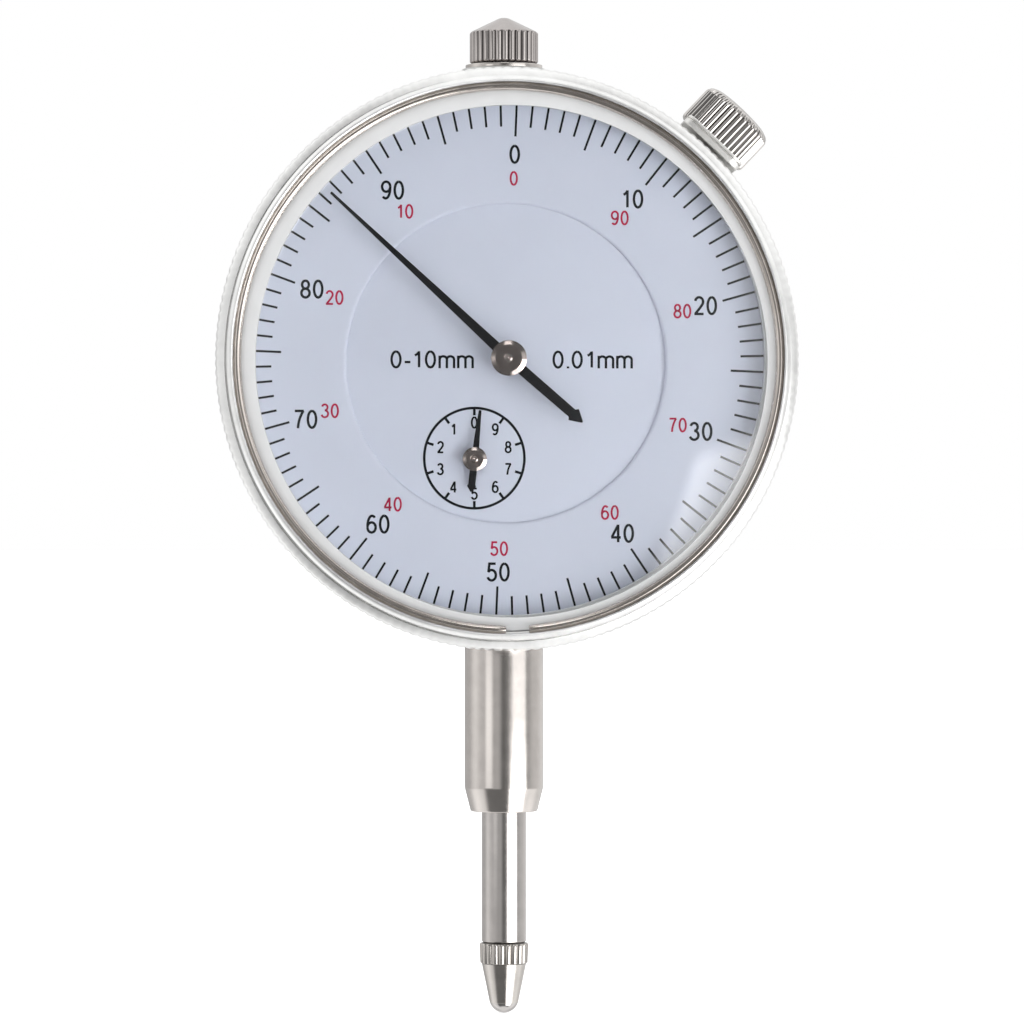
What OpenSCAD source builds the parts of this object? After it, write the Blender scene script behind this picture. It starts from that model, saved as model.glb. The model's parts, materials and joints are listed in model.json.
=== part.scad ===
// Dial indicator with 10 mm travel: one turn of the long hand is 1 mm, one division is 0.01 mm.
//
// Frame: X to the right, Y towards the back, Z up along the plunger. The origin is on the
// stem's axis, halfway along its clamping length. The plunger is drawn fully extended.
//
// How it works: the plunger's rack turns the rack pinion, whose arbor carries the main gear
// and the counter hand. The main gear turns the centre pinion and the long hand. The take-up
// gear and its hairspring press on the centre pinion from the other side to remove backlash.

/* [Stem and plunger] */
// Diameter of the clamping stem
stem_d = 8; // [7.6:0.1:8.2]
// Clamping length of the stem, from the case boss to the stem's end chamfer
stem_grip = 14; // [12:0.5:18]
// Diameter of the plunger
plunger_d = 4.5; // [4.3:0.1:4.7]
// Length of plunger that stands out of the stem at rest
plunger_out = 13.3; // [12:0.1:16]
// Running clearance between the plunger and its bushes, on the radius
plunger_clearance = 0.025; // [0.01:0.005:0.05]
// Diameter of the ball in the contact point
ball_d = 3; // [2.5:0.1:3.2]

/* [Case and bezel] */
// Outer diameter of the case
case_d = 54; // [53.8:0.1:54]
// Outer diameter of the bezel's grip band
bezel_d = 58.4; // [58:0.1:59]
// Number of scallops round the grip band
bezel_lobes = 190; // [120:1:200]
// Diameter of the dial seen through the bezel
window_d = 51; // [50:0.5:51.5]
// Width of the gap in the crystal's retaining wire, in degrees
wire_gap = 4.9; // [2:0.1:12]

/* [Dial and hands] */
// Diameter of the fixed inner dial
inner_dial_d = 31.8; // [30:0.1:32]
// Angle of the long hand at rest, anticlockwise from 12 o'clock
long_hand_angle = 47.3; // [-180:0.1:180]
// Angle of the counter hand at rest, anticlockwise from 12 o'clock
counter_hand_angle = -7.9; // [-180:0.1:180]
// Length of the long hand from its arbor to its tip
long_hand = 24.1; // [20:0.1:24.5]
// Length of the counter hand from its arbor to its tip
counter_hand = 4.9; // [4:0.1:5]

/* [Bezel clamp] */
// Angle of the clamp's axis, clockwise from 12 o'clock
clamp_angle = 43.5; // [40:0.5:50]
// Diameter of the clamp knob
clamp_knob_d = 8.2; // [6:0.1:9]

/* [Lug back] */
// Thickness of the lug
lug_t = 5; // [4:0.1:6]
// Diameter of the lug's hole
lug_hole_d = 6.5; // [6:0.1:7]

/* [Hidden] */
$fn = 64;
eps = 0.01;

// Heights along the plunger, measured from the dial's centre (up is positive)
boss_reach = 29.4;                        // lower end of the stem boss
stem_end = -(boss_reach + stem_grip);     // lower end of the stem's grip
stem_tip_h = 2.3;                         // height of the stem's end chamfer
stem_tip_r = 3.4;
sleeve_top = -22.5;                       // upper end of the sleeve, inside the case
sleeve_bore = 2.9;
spigot_r = 3.6;                           // part of the sleeve that is pressed into the boss
bush_l = 7;
collar_top = stem_end - stem_tip_h - plunger_out;
dial_z = boss_reach + stem_grip / 2;      // the dial's centre above the origin
top_boss_h = 29.7;
top_flange_h = 0.4;
top_bush_r = 3;
cap_z = top_boss_h + top_flange_h;
cap_low = cap_z + 0.02;                   // the cap clears the flange by a hair at rest
cap_h = 3.4;
cap_cone_h = 1.4;
thread_r = 1.5;                           // threaded top end of the plunger
thread_h = 2.8;
stud_r = 1.25;                            // threaded stud of the contact point
stud_l = 4.8;
plunger_r = plunger_d / 2;
bush_r = plunger_r + plunger_clearance;

// Depths from the plunger's axis, positive towards the viewer
case_rear = -7;
web_front = 8.3;
web_t = 1.2;
web_rear = web_front - web_t;
cover_t = 1.6;
cover_edge = 0.5;
cover_rear = case_rear - cover_t;
bezel_rear = 5.3;
band_front = 9.3;
bezel_front = 13.2;
bridge_z = 2.6;
bridge_t = 0.8;
shoulder_z = 3.5;                         // rear shoulders of the centre and take-up arbors
gear_z = 4.0;
gear_t = 0.6;
cock_z = -3.6;
scale_z = 8.8;
scale_t = 0.5;
scale_inner_r = 16.05;
dial_t = 0.6;
crystal_seat = 10.7;
crystal_flange_t = 1.0;
crystal_top = 13.3;
counter_blade_z = 9.55;
long_blade_z = 10.75;
blade_t = 0.15;

// Case and bezel radii
case_r = case_d / 2;
case_wall = 1.5;
bezel_bore_r = case_r + 0.1;
bezel_r = bezel_d / 2;
lobe_depth = 0.2;
flute_depth = 0.16;                       // of the knob, the cap and the contact point
window_r = window_d / 2;
neck_r = 28.1;
lip_r = 27.35;
seat_r = 27.2;                            // the crystal's flange fits inside this
wire_r = 0.45;
wire_ring_r = 27.0;
wire_gap_angle = 271.8;                   // middle of the wire's gap, anticlockwise from 3 o'clock
snap_wire_r = 0.4;
snap_wire_z = 6.3;
snap_groove = 0.45;                       // half the width of the wire's groove
dial_pocket_r = 26.4;
clearance = 0.05;

// Gear train
rack_pitch = 0.625;
rack_teeth = 16;
rack_module = rack_pitch / PI;
rack_pinion_r = rack_teeth * rack_module / 2;
rack_line = 1.75;                         // pitch line of the rack, left of the plunger's axis
rack_root = 1.5;
rack_tip = 1.92;
rack_low = -22.9;
rack_high = -7.6;
train_module = 0.16;
gear_teeth = 120;
pinion_teeth = 12;
centre_distance = train_module * (gear_teeth + pinion_teeth) / 2;
arbor_x = rack_line + rack_pinion_r;
arbor_y = sqrt(centre_distance * centre_distance - arbor_x * arbor_x);
counter_pos = [-arbor_x, -arbor_y];
takeup_pos = [arbor_x, arbor_y];
train_angle = atan2(arbor_y, arbor_x);

// Arbors and bushes
arbor_r = 0.5;
staff_r = 0.8;
pivot_r = 0.4;
fit = 0.025;
neck_hub_r = 0.7;                         // neck of a hand's hub, through its blade
pillar_r = 1.75;
pillar_ring_r = 17.5;
pillar_angles = [for (k = [0, 1]) for (s = [-1, 1]) train_angle + k * 180 + s * 48];
cover_screw_r = 23.4;
cover_screw_angles = [for (k = [0:3]) 15 + 90 * k];
cover_screw_l = 5;
screw_r = 0.8;                            // shank of the cover's and the lug's screws
cover_head_r = 1.7;
lug_head_r = 1.6;
lug_screw_r = 7;
lug_screw_angles = [for (s = [-1, 1]) for (k = [0, 1]) s * 37 + 180 * k];
bridge_r = 20.5;
bridge_screw_r = 0.7;
bridge_screw_l = 2.8;
bridge_head_r = 1.4;
bridge_head_h = 0.9;
rear_bush_r = 1.2;
front_bush_r = 1.5;
small_screw_r = 0.5;                      // shank of the cock's and the rail's screws
small_head_r = 1.0;
small_head_h = 0.7;
hand_hole_r = 1.4;                        // holes in the inner dial for the arbors
stud_offset = [4.9, 0];                   // hairspring stud, from the take-up arbor
stud_pin_r = 0.45;
hairspring_z = 5.2;
hairspring_w = 0.4;
collet_r = 1.2;                           // the hairspring's inner end sits on this collet
post_r = 0.7;
post_rear = -1.5;
guide_pin_r = 0.75;
guide_pin_l = 9.9;
spring_x = 6.5;
spring_foot = -18.6;
guide_pin_z = -6;

// Colours
aluminium = [0.80, 0.80, 0.80];
steel = [0.70, 0.69, 0.66];
bright_steel = [0.82, 0.81, 0.79];
brass = [0.76, 0.62, 0.32];
black = [0.05, 0.05, 0.06];
dial_blue = [0.78, 0.81, 0.87];
clear = [0.90, 0.95, 0.97, 0.35];

// ---------- shared shapes ----------

// Face frame: x right, y up, z towards the viewer, origin at the dial's centre
module face() {
    translate([0, 0, dial_z]) rotate([90, 0, 0]) children();
}

// Frame of the plunger: the axis upright, heights measured from the dial's centre
module upright() {
    translate([0, 0, dial_z]) children();
}

// Frame of the bezel clamp: z runs outwards along the clamp's axis
module clamp_frame() {
    translate([0, 0, dial_z]) rotate([0, clamp_angle, 0]) children();
}

module rod(r, z0, z1) {
    translate([0, 0, z0]) cylinder(r = r, h = z1 - z0);
}

module tube(r_out, r_in, z0, z1) {
    difference() {
        rod(r_out, z0, z1);
        rod(r_in, z0 - 1, z1 + 1);
    }
}

// Cutter for a round hole through a plate of thickness t
module bore(r, z0, t) {
    rod(r, z0 - 1, z0 + t + 1);
}

// Turned solid from [radius, height] points
module turned(points) {
    rotate_extrude() polygon(points);
}

// Children copied to a radius and a list of angles
module around(radius, angles) {
    for (a = angles) rotate([0, 0, a]) translate([radius, 0, 0]) children();
}

// Points of a circle with convex lobes and sharp notches between them
function lobed(r, depth, lobes, steps = 4) = [
    for (i = [0:lobes * steps - 1])
        let (a = 360 * i / (lobes * steps), rise = abs(sin(180 * i / steps)))
        (r - depth + depth * rise) * [cos(a), sin(a)]
];

module lobed_disc(r, depth, lobes, z0, z1) {
    translate([0, 0, z0]) linear_extrude(height = z1 - z0) polygon(lobed(r, depth, lobes));
}

// Outline of a spur gear with a tooth centred on the angle `start`
addendum = 0.8;
dedendum = 1.25;
function gear_outline(teeth, m, start) =
    let (r = teeth * m / 2, half = 0.215 * 360 / teeth)
    [
        for (k = [0:teeth - 1])
            for (p = [
                [r - dedendum * m, -1.35 * half], [r, -half], [r + addendum * m, -0.45 * half],
                [r + addendum * m, 0.45 * half], [r, half], [r - dedendum * m, 1.35 * half]
            ])
                let (a = start + 360 * k / teeth + p[1])
                p[0] * [cos(a), sin(a)]
    ];

module spur(teeth, m, start, z0, z1) {
    translate([0, 0, z0]) linear_extrude(height = z1 - z0)
        polygon(gear_outline(teeth, m, start));
}

// Slotted cheese-head screw: head from z = 0 upwards, shank downwards
module screw(head_r, head_h, shank_r, shank_l) {
    difference() {
        union() {
            rod(head_r, 0, head_h);
            rod(shank_r, -shank_l, eps);
        }
        translate([-head_r - 1, -0.15, head_h * 0.55]) cube([2 * head_r + 2, 0.3, head_h]);
    }
}

// Slotted countersunk screw: flush face at z = 0, shank downwards
csk_h = 0.8;
module countersunk_screw(head_r, shank_r, shank_l) {
    difference() {
        union() {
            turned([[0, -csk_h], [shank_r, -csk_h], [head_r, 0], [0, 0]]);
            rod(shank_r, -shank_l, -csk_h + eps);
        }
        translate([-head_r - 1, -0.2, -0.35]) cube([2 * head_r + 2, 0.4, 1]);
    }
}

module countersink(head_r, shank_r, depth) {
    turned([[0, -csk_h], [shank_r, -csk_h], [head_r, 0], [head_r, 1], [0, 1]]);
    rod(shank_r, -depth, -csk_h + eps);
}

// ---------- case ----------

stem_boss_r = 5.0;
top_boss_r = 4.4;
clamp_boss_r = 4.2;
clamp_boss_low = 24;
clamp_boss_h = 29.1;
clamp_hole_r = 1.5;
cover_boss_r = 2.4;
boss_root = 22;                           // where the bosses start, inside the case wall
bush_front = 8.1;
bush_rear = 6.7;
spigot_pin_r = 0.9;                       // front end of a bridge pillar
pin_depth = 7.9;                          // blind holes in the case's web end here

module case_body() {
    color(aluminium) difference() {
        union() {
            face() turned([
                [case_r - case_wall, case_rear], [case_r, case_rear],
                [case_r, snap_wire_z - snap_groove], [case_r - snap_wire_r, snap_wire_z - snap_groove],
                [case_r - snap_wire_r, snap_wire_z + snap_groove], [case_r, snap_wire_z + snap_groove],
                [case_r, web_front - 0.3], [case_r - 0.3, web_front], [0, web_front],
                [0, web_rear], [case_r - case_wall, web_rear]
            ]);
            upright() rod(stem_boss_r, -boss_reach, -boss_root);
            upright() rod(top_boss_r, boss_root, top_boss_h);
            clamp_frame() rod(clamp_boss_r, clamp_boss_low, clamp_boss_h);
            face() around(cover_screw_r, cover_screw_angles)
                rod(cover_boss_r, case_rear + 0.3, case_rear + cover_screw_l);
        }
        upright() rod(spigot_r, -boss_reach - 1, -boss_root + 2);
        upright() rod(top_bush_r, boss_root - 2, top_boss_h + 1);
        clamp_frame() rod(clamp_hole_r, boss_root, clamp_boss_h + 1);
        face() around(cover_screw_r, cover_screw_angles) rod(screw_r, case_rear - 1, case_rear + 4);
        face() for (p = [[0, 0], counter_pos]) translate(p) bore(front_bush_r, web_rear, web_t);
        face() translate(takeup_pos) rod(front_bush_r, web_rear - 1, bush_front);
        face() around(pillar_ring_r, pillar_angles) rod(spigot_pin_r, web_rear - 1, pin_depth);
        face() translate(takeup_pos + stud_offset) rod(stud_pin_r, web_rear - 1, pin_depth);
    }
}

module stem_sleeve() {
    color(steel) upright() turned([
        [sleeve_bore, stem_end - stem_tip_h], [stem_tip_r, stem_end - stem_tip_h],
        [stem_d / 2, stem_end], [stem_d / 2, -boss_reach], [spigot_r, -boss_reach],
        [spigot_r, sleeve_top], [sleeve_bore, sleeve_top]
    ]);
}

module stem_lower_bush() {
    low = stem_end - stem_tip_h;
    color(brass) upright() tube(sleeve_bore, bush_r, low, low + bush_l);
}

module stem_upper_bush() {
    color(brass) upright() tube(sleeve_bore, bush_r, sleeve_top - bush_l, sleeve_top);
}

module top_bush() {
    color(steel) upright() difference() {
        union() {
            rod(top_bush_r, boss_root, top_boss_h + eps);
            rod(top_bush_r + 0.9, top_boss_h, cap_z);
        }
        rod(bush_r, boss_root - 2, cap_z + 1);
    }
}

module back_cover() {
    color(aluminium) face() difference() {
        turned([
            [0, cover_rear], [case_r - cover_edge, cover_rear], [case_r, cover_rear + cover_edge],
            [case_r, case_rear], [0, case_rear]
        ]);
        around(cover_screw_r, cover_screw_angles) translate([0, 0, cover_rear])
            mirror([0, 0, 1]) countersink(cover_head_r, screw_r, cover_screw_l);
        around(lug_screw_r, lug_screw_angles) rod(screw_r, cover_rear - 1, case_rear + 1);
    }
}

module back_cover_screws() {
    color(steel) face() around(cover_screw_r, cover_screw_angles)
        translate([0, 0, cover_rear]) mirror([0, 0, 1])
            countersunk_screw(cover_head_r, screw_r, cover_screw_l);
}

// ---------- lug back ----------

lug_base_t = 1.8;
lug_base_r = 9.5;
lug_base_edge = 0.4;
lug_base_z = cover_rear - lug_base_t;
lug_r = 7;
lug_z = cover_rear - 8;                   // depth of the lug's hole

module lug() {
    color(aluminium) face() difference() {
        union() {
            turned([
                [0, lug_base_z], [lug_base_r - lug_base_edge, lug_base_z],
                [lug_base_r, lug_base_z + lug_base_edge], [lug_base_r, cover_rear], [0, cover_rear]
            ]);
            translate([-lug_t / 2, 0, lug_z]) rotate([0, 90, 0]) rod(lug_r, 0, lug_t);
            translate([-lug_t / 2, -lug_r, lug_z]) cube([lug_t, 2 * lug_r, cover_rear - lug_z]);
        }
        translate([0, 0, lug_z]) rotate([0, 90, 0]) rod(lug_hole_d / 2, -lug_t, lug_t);
        around(lug_screw_r, lug_screw_angles) translate([0, 0, lug_base_z])
            mirror([0, 0, 1]) countersink(lug_head_r, screw_r, lug_base_t + cover_t);
    }
}

module lug_screws() {
    color(steel) face() around(lug_screw_r, lug_screw_angles)
        translate([0, 0, lug_base_z]) mirror([0, 0, 1])
            countersunk_screw(lug_head_r, screw_r, lug_base_t + cover_t);
}

// ---------- movement frame ----------

module movement_bridge() {
    color(brass) face() difference() {
        rod(bridge_r, bridge_z, bridge_z + bridge_t);
        around(pillar_ring_r, pillar_angles) bore(bridge_screw_r, bridge_z, bridge_t);
        for (p = [[0, 0], takeup_pos]) translate(p) bore(rear_bush_r, bridge_z, bridge_t);
        translate(counter_pos) bore(staff_r + 0.3, bridge_z, bridge_t);
        for (p = cock_screws) translate(p) bore(small_screw_r, bridge_z, bridge_t);
        for (p = rail_screws) translate(p) bore(small_screw_r, bridge_z, bridge_t);
        translate([spring_x, spring_foot]) bore(post_r, bridge_z, bridge_t);
    }
}

module bridge_pillars() {
    color(brass) face() around(pillar_ring_r, pillar_angles) difference() {
        union() {
            rod(pillar_r, bridge_z + bridge_t, web_rear);
            rod(spigot_pin_r, web_rear - 1, pin_depth);
        }
        rod(bridge_screw_r, bridge_z, bridge_z + bridge_screw_l + 0.2);
    }
}

module bridge_screws() {
    color(steel) face() around(pillar_ring_r, pillar_angles)
        translate([0, 0, bridge_z]) mirror([0, 0, 1])
            screw(bridge_head_r, bridge_head_h, bridge_screw_r, bridge_screw_l);
}

module front_bushes() {
    color(brass) face() for (p = [[0, 0], counter_pos, takeup_pos])
        translate(p) tube(front_bush_r, arbor_r + fit, bush_rear, bush_front);
}

module rear_bushes() {
    color(brass) face() {
        for (p = [[0, 0], takeup_pos])
            translate(p) tube(rear_bush_r, pivot_r + fit, bridge_z, bridge_z + bridge_t);
        translate(counter_pos) tube(rear_bush_r, pivot_r + fit, cock_z, cock_z + bridge_t);
    }
}

// The cock carries the rack pinion's rear pivot behind the plunger
cock_screws = [[-9.2, -6.4], [-9.2, -13.6]];
module pinion_cock() {
    foot = [-11, -7.2];
    low = -15.4;
    high = -4.6;
    arm_l = 9.4;
    arm_w = 5.6;
    color(brass) face() difference() {
        union() {
            translate([foot[0], low, cock_z])
                cube([foot[1] - foot[0], high - low, bridge_z - cock_z]);
            translate([foot[0], counter_pos[1] - arm_w / 2, cock_z]) cube([arm_l, arm_w, bridge_t]);
        }
        translate(counter_pos) bore(rear_bush_r, cock_z, bridge_t);
        for (p = cock_screws) translate(p) rod(small_screw_r, cock_z - 1, bridge_z + 1);
    }
}

module pinion_cock_screws() {
    color(steel) face() for (p = cock_screws)
        translate([p[0], p[1], cock_z]) mirror([0, 0, 1])
            screw(small_head_r, small_head_h, small_screw_r, bridge_z - cock_z + bridge_t);
}

// The rail's slot keeps the guide pin, and so the rack, from turning
rail_screws = [[10.1, -11.4], [10.1, 9.4]];
rail_rear = -1.9;
module guide_rail() {
    left = 8.6;
    low = -13;
    size = [3, 24, bridge_z - rail_rear];
    slot = guide_pin_r + 0.08;
    slot_depth = 1.6;
    slot_low = -9;
    slot_l = 16.5;
    color(brass) face() difference() {
        translate([left, low, rail_rear]) cube(size);
        translate([left - 1, slot_low, -slot]) cube([slot_depth + 1, slot_l, 2 * slot]);
        for (p = rail_screws) translate(p) rod(small_screw_r, rail_rear - 1, bridge_z + 1);
    }
}

module guide_rail_screws() {
    color(steel) face() for (p = rail_screws)
        translate([p[0], p[1], rail_rear]) mirror([0, 0, 1])
            screw(small_head_r, small_head_h, small_screw_r, bridge_z - rail_rear + bridge_t);
}

module spring_post() {
    color(steel) face() translate([spring_x, spring_foot])
        rod(post_r, post_rear, bridge_z + bridge_t);
}

module hairspring_stud() {
    color(steel) face() translate(takeup_pos + stud_offset)
        rod(stud_pin_r, hairspring_z - 0.1, pin_depth);
}

// ---------- dial and bezel ----------

module inner_dial() {
    color(dial_blue) face() difference() {
        rod(inner_dial_d / 2, web_front, web_front + dial_t);
        for (p = [[0, 0], counter_pos]) translate(p) rod(hand_hole_r, web_front - 1, web_front + 2);
    }
}

module scale_dial() {
    color(dial_blue) face() tube(dial_pocket_r, scale_inner_r, scale_z, scale_z + scale_t);
}

module bezel_retaining_wire() {
    color(steel) face() translate([0, 0, snap_wire_z])
        rotate_extrude() translate([case_r, 0]) circle(r = snap_wire_r, $fn = 24);
}

module bezel_ring() {
    groove_z = crystal_seat + crystal_flange_t;
    groove_top = groove_z + 0.95;
    pocket_r = dial_pocket_r + clearance;
    core_r = bezel_r - lobe_depth - 0.1;
    snap_r = case_r + snap_wire_r + 0.1;
    color(aluminium) face() union() {
        turned([
            [bezel_bore_r, bezel_rear], [core_r, bezel_rear], [core_r, band_front],
            [neck_r + 0.05, band_front + 0.6], [neck_r - 0.15, band_front + 0.7],
            [neck_r, band_front + 0.85], [neck_r, bezel_front - 0.4],
            [neck_r - 0.25, bezel_front - 0.05], [neck_r - 0.45, bezel_front],
            [lip_r, bezel_front - 0.15], [lip_r, groove_top], [lip_r + 0.15, groove_top],
            [lip_r + 0.15, groove_z], [seat_r, groove_z], [seat_r, crystal_seat],
            [window_r, crystal_seat], [window_r, scale_z + scale_t], [pocket_r, scale_z + scale_t],
            [pocket_r, web_front + 0.15], [bezel_bore_r, web_front + 0.15],
            [bezel_bore_r, snap_wire_z + snap_groove + clearance],
            [snap_r, snap_wire_z + snap_groove + clearance],
            [snap_r, snap_wire_z - snap_groove - clearance],
            [bezel_bore_r, snap_wire_z - snap_groove - clearance]
        ]);
        difference() {
            lobed_disc(bezel_r, lobe_depth, bezel_lobes, bezel_rear, band_front);
            rod(neck_r + 0.3, bezel_rear - 1, band_front + 1);
        }
    }
}

module crystal() {
    flange = crystal_seat + crystal_flange_t;
    flange_r = seat_r - 0.1;
    inside_r = 25.0;
    under = crystal_top - 1.1;
    color(clear) face() turned([
        [inside_r, crystal_seat], [flange_r, crystal_seat], [flange_r, flange],
        [inside_r + 0.9, flange], [inside_r + 0.5, crystal_top - 0.4],
        [inside_r + 0.1, crystal_top], [0, crystal_top], [0, under], [inside_r - 0.3, under],
        [inside_r, under - 0.3]
    ]);
}

module crystal_retaining_ring() {
    color(bright_steel) face()
        translate([0, 0, crystal_seat + crystal_flange_t + wire_r])
            rotate([0, 0, wire_gap_angle + wire_gap / 2])
                rotate_extrude(angle = 360 - wire_gap)
                    translate([wire_ring_r, 0]) circle(r = wire_r, $fn = 24);
}

// ---------- plunger ----------

// One tooth of the rack: distance left of the axis, and height in pitches from its middle
rack_tooth = [
    [rack_root, -0.3875], [rack_line, -0.25], [rack_tip, -0.13],
    [rack_tip, 0.13], [rack_line, 0.25], [rack_root, 0.3875]
];

// Outline of everything that the rack removes from the plunger's left side
function rack_cut(first, last) = concat(
    [[-3, rack_low], [-rack_root, rack_low]],
    [
        for (k = [first:last])
            for (p = rack_tooth) [-p[0], -arbor_y + (k + 0.5 + p[1]) * rack_pitch]
    ],
    [[-rack_root, rack_high], [-3, rack_high]]
);

module plunger_rod() {
    color(bright_steel) upright() difference() {
        union() {
            rod(plunger_r, collar_top, cap_low);
            rod(thread_r, cap_z - 1, cap_z + thread_h);
        }
        translate([0, 4, 0]) rotate([90, 0, 0]) linear_extrude(height = 8)
            polygon(rack_cut(-20, 2));
        translate([0, 0, guide_pin_z]) rotate([0, 90, 0]) rod(guide_pin_r, 0, 4);
        rod(stud_r, collar_top - 1, collar_top + stud_l + 0.2);
    }
}

module contact_point() {
    collar_r = 2.5;
    collar_h = 2.25;
    cone_end = collar_top - 6.2;
    cone_end_r = 1.44;
    cone_r = 2.28;
    neck_r = 2.2;
    color(steel) upright() difference() {
        union() {
            rod(stud_r, collar_top - 1, collar_top + stud_l);
            turned([
                [0, cone_end], [cone_end_r, cone_end], [cone_r, collar_top - collar_h],
                [neck_r, collar_top], [0, collar_top]
            ]);
            lobed_disc(collar_r, flute_depth, 20, collar_top - collar_h, collar_top - 0.2);
        }
        translate([0, 0, ball_z]) sphere(r = ball_d / 2);
    }
}

ball_z = collar_top - 7.2 + ball_d / 2;   // centre of the ball
module contact_ball() {
    color(bright_steel) upright() translate([0, 0, ball_z]) sphere(r = ball_d / 2);
}

module lifting_cap() {
    r = 3.5;
    core_r = r - 0.2;
    drum_top = cap_low + cap_h;
    top = drum_top + cap_cone_h;
    color(steel) upright() difference() {
        union() {
            lobed_disc(r, flute_depth, 30, cap_low + 0.25, drum_top - 0.15);
            turned([[0, cap_low], [core_r, cap_low], [core_r, drum_top], [0.4, top], [0, top]]);
        }
        rod(thread_r, cap_low - 1, cap_z + thread_h);
    }
}

module guide_pin() {
    color(steel) upright() translate([0, 0, guide_pin_z]) rotate([0, 90, 0])
        rod(guide_pin_r, 0, guide_pin_l);
}

// Close-wound extension spring between the post and the guide pin
spring_turns = 14;
spring_sides = 6;
spring_steps = 12;
spring_coil_r = 0.95;
spring_wire_r = 0.25;
spring_low = spring_foot + 1.0;
spring_high = guide_pin_z - 1.05;
function spring_ring(i) =
    let (a = 360 * i / spring_steps,
         z = spring_low + (spring_high - spring_low) * i / (spring_turns * spring_steps))
    [
        for (j = [0:spring_sides - 1])
            let (b = 360 * j / spring_sides, r = spring_coil_r + spring_wire_r * cos(b))
            [r * cos(a), r * sin(a), z + spring_wire_r * sin(b)]
    ];
module return_spring() {
    rings = spring_turns * spring_steps;
    points = [for (i = [0:rings]) each spring_ring(i)];
    walls = [
        for (i = [0:rings - 1])
            for (j = [0:spring_sides - 1])
                let (k = (j + 1) % spring_sides)
                [i * spring_sides + j, (i + 1) * spring_sides + j,
                 (i + 1) * spring_sides + k, i * spring_sides + k]
    ];
    first = [for (j = [0:spring_sides - 1]) j];
    last = [for (j = [spring_sides - 1:-1:0]) rings * spring_sides + j];
    color(steel) upright() translate([spring_x, 0, 0])
        polyhedron(points = points, faces = concat([first], walls, [last]));
}

// ---------- gear train ----------

module rack_pinion() {
    staff_rear = -2.6;
    pinion_half = 1.6;                    // half the pinion's face width
    color(steel) face() translate(counter_pos) union() {
        rod(pivot_r, cock_z, staff_rear + eps);
        rod(staff_r, staff_rear, gear_z + gear_t + 0.2);
        spur(rack_teeth, rack_module, 0, -pinion_half, pinion_half);
        rod(arbor_r, gear_z, counter_blade_z + 0.6);
    }
}

// Four-spoke gear wheel, with a gap between teeth at the angle `gap`
module wheel(gap) {
    rim_r = 8.6;
    wheel_hub_r = 2.2;
    spoke_w = 1.2;
    difference() {
        spur(gear_teeth, train_module, gap + 180 / gear_teeth, gear_z, gear_z + gear_t);
        difference() {
            rod(rim_r, gear_z - 1, gear_z + 2);
            rod(wheel_hub_r, gear_z - 2, gear_z + 3);
            for (a = [45, 135]) rotate([0, 0, a])
                translate([-rim_r - 1, -spoke_w / 2, gear_z - 2]) cube([2 * rim_r + 2, spoke_w, 5]);
        }
        rod(staff_r, gear_z - 1, gear_z + 2);
    }
}

module main_gear() {
    color(brass) face() translate(counter_pos) wheel(train_angle);
}

module takeup_gear() {
    color(brass) face() translate(takeup_pos) wheel(train_angle + 180);
}

module takeup_arbor() {
    color(steel) face() translate(takeup_pos) union() {
        rod(pivot_r, bridge_z, shoulder_z + eps);
        rod(staff_r, shoulder_z, hairspring_z + 1.1);
        rod(collet_r, hairspring_z - 0.1, hairspring_z + hairspring_w + 0.2);
        rod(arbor_r, hairspring_z + 1, bush_front - 0.1);
    }
}

// Spiral ribbon from the take-up arbor's collet to the stud
function spiral(turns, r0, r1, steps) = [
    for (i = [0:turns * steps])
        let (a = 360 * i / steps, r = r0 + (r1 - r0) * i / (turns * steps))
        r * [cos(a), sin(a)]
];
module hairspring() {
    turns = 6;
    ribbon = 0.1;
    outer_r = 4.34;
    inner = spiral(turns, collet_r, outer_r, 24);
    outer = spiral(turns, collet_r + ribbon, outer_r + ribbon, 24);
    n = len(inner);
    color(steel) face() translate([takeup_pos[0], takeup_pos[1], hairspring_z])
        linear_extrude(height = hairspring_w)
            polygon(concat(inner, [for (i = [n - 1:-1:0]) outer[i]]));
}

module centre_pinion() {
    color(steel) face() union() {
        rod(pivot_r, bridge_z, shoulder_z + eps);
        spur(pinion_teeth, train_module, train_angle, shoulder_z, gear_z + gear_t + 0.5);
        rod(arbor_r, shoulder_z, long_blade_z + 0.9);
    }
}

// ---------- hands ----------

module counter_hand_blade() {
    l = counter_hand;
    color(black) face() translate([counter_pos[0], counter_pos[1], counter_blade_z])
        rotate([0, 0, counter_hand_angle]) difference() {
            union() {
                linear_extrude(height = blade_t)
                    polygon([[0.12, l], [0.35, 0], [0.33, -2.6], [0.43, -2.7], [0, -3.3],
                             [-0.43, -2.7], [-0.33, -2.6], [-0.35, 0], [-0.12, l]]);
                rod(1.0, 0, blade_t);
            }
            rod(neck_hub_r, -1, 1);
        }
}

// Hub that grips a blade between its collar and its cap
module hub(collar_r, low, blade_z, cap_r, rim_h, face_r, cap_h) {
    top = blade_z + blade_t;
    difference() {
        union() {
            rod(collar_r, low, blade_z);
            rod(neck_hub_r, low, top + eps);
            turned([[0, top], [cap_r, top], [cap_r, top + rim_h], [face_r, top + cap_h],
                    [0, top + cap_h]]);
        }
        rod(arbor_r, low - 1, top + cap_h + 1);
    }
}

module counter_hand_hub() {
    color(steel) face() translate(counter_pos)
        hub(0.9, 9.15, counter_blade_z, 1.2, 0.4, 0.8, 0.6);
}

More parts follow.
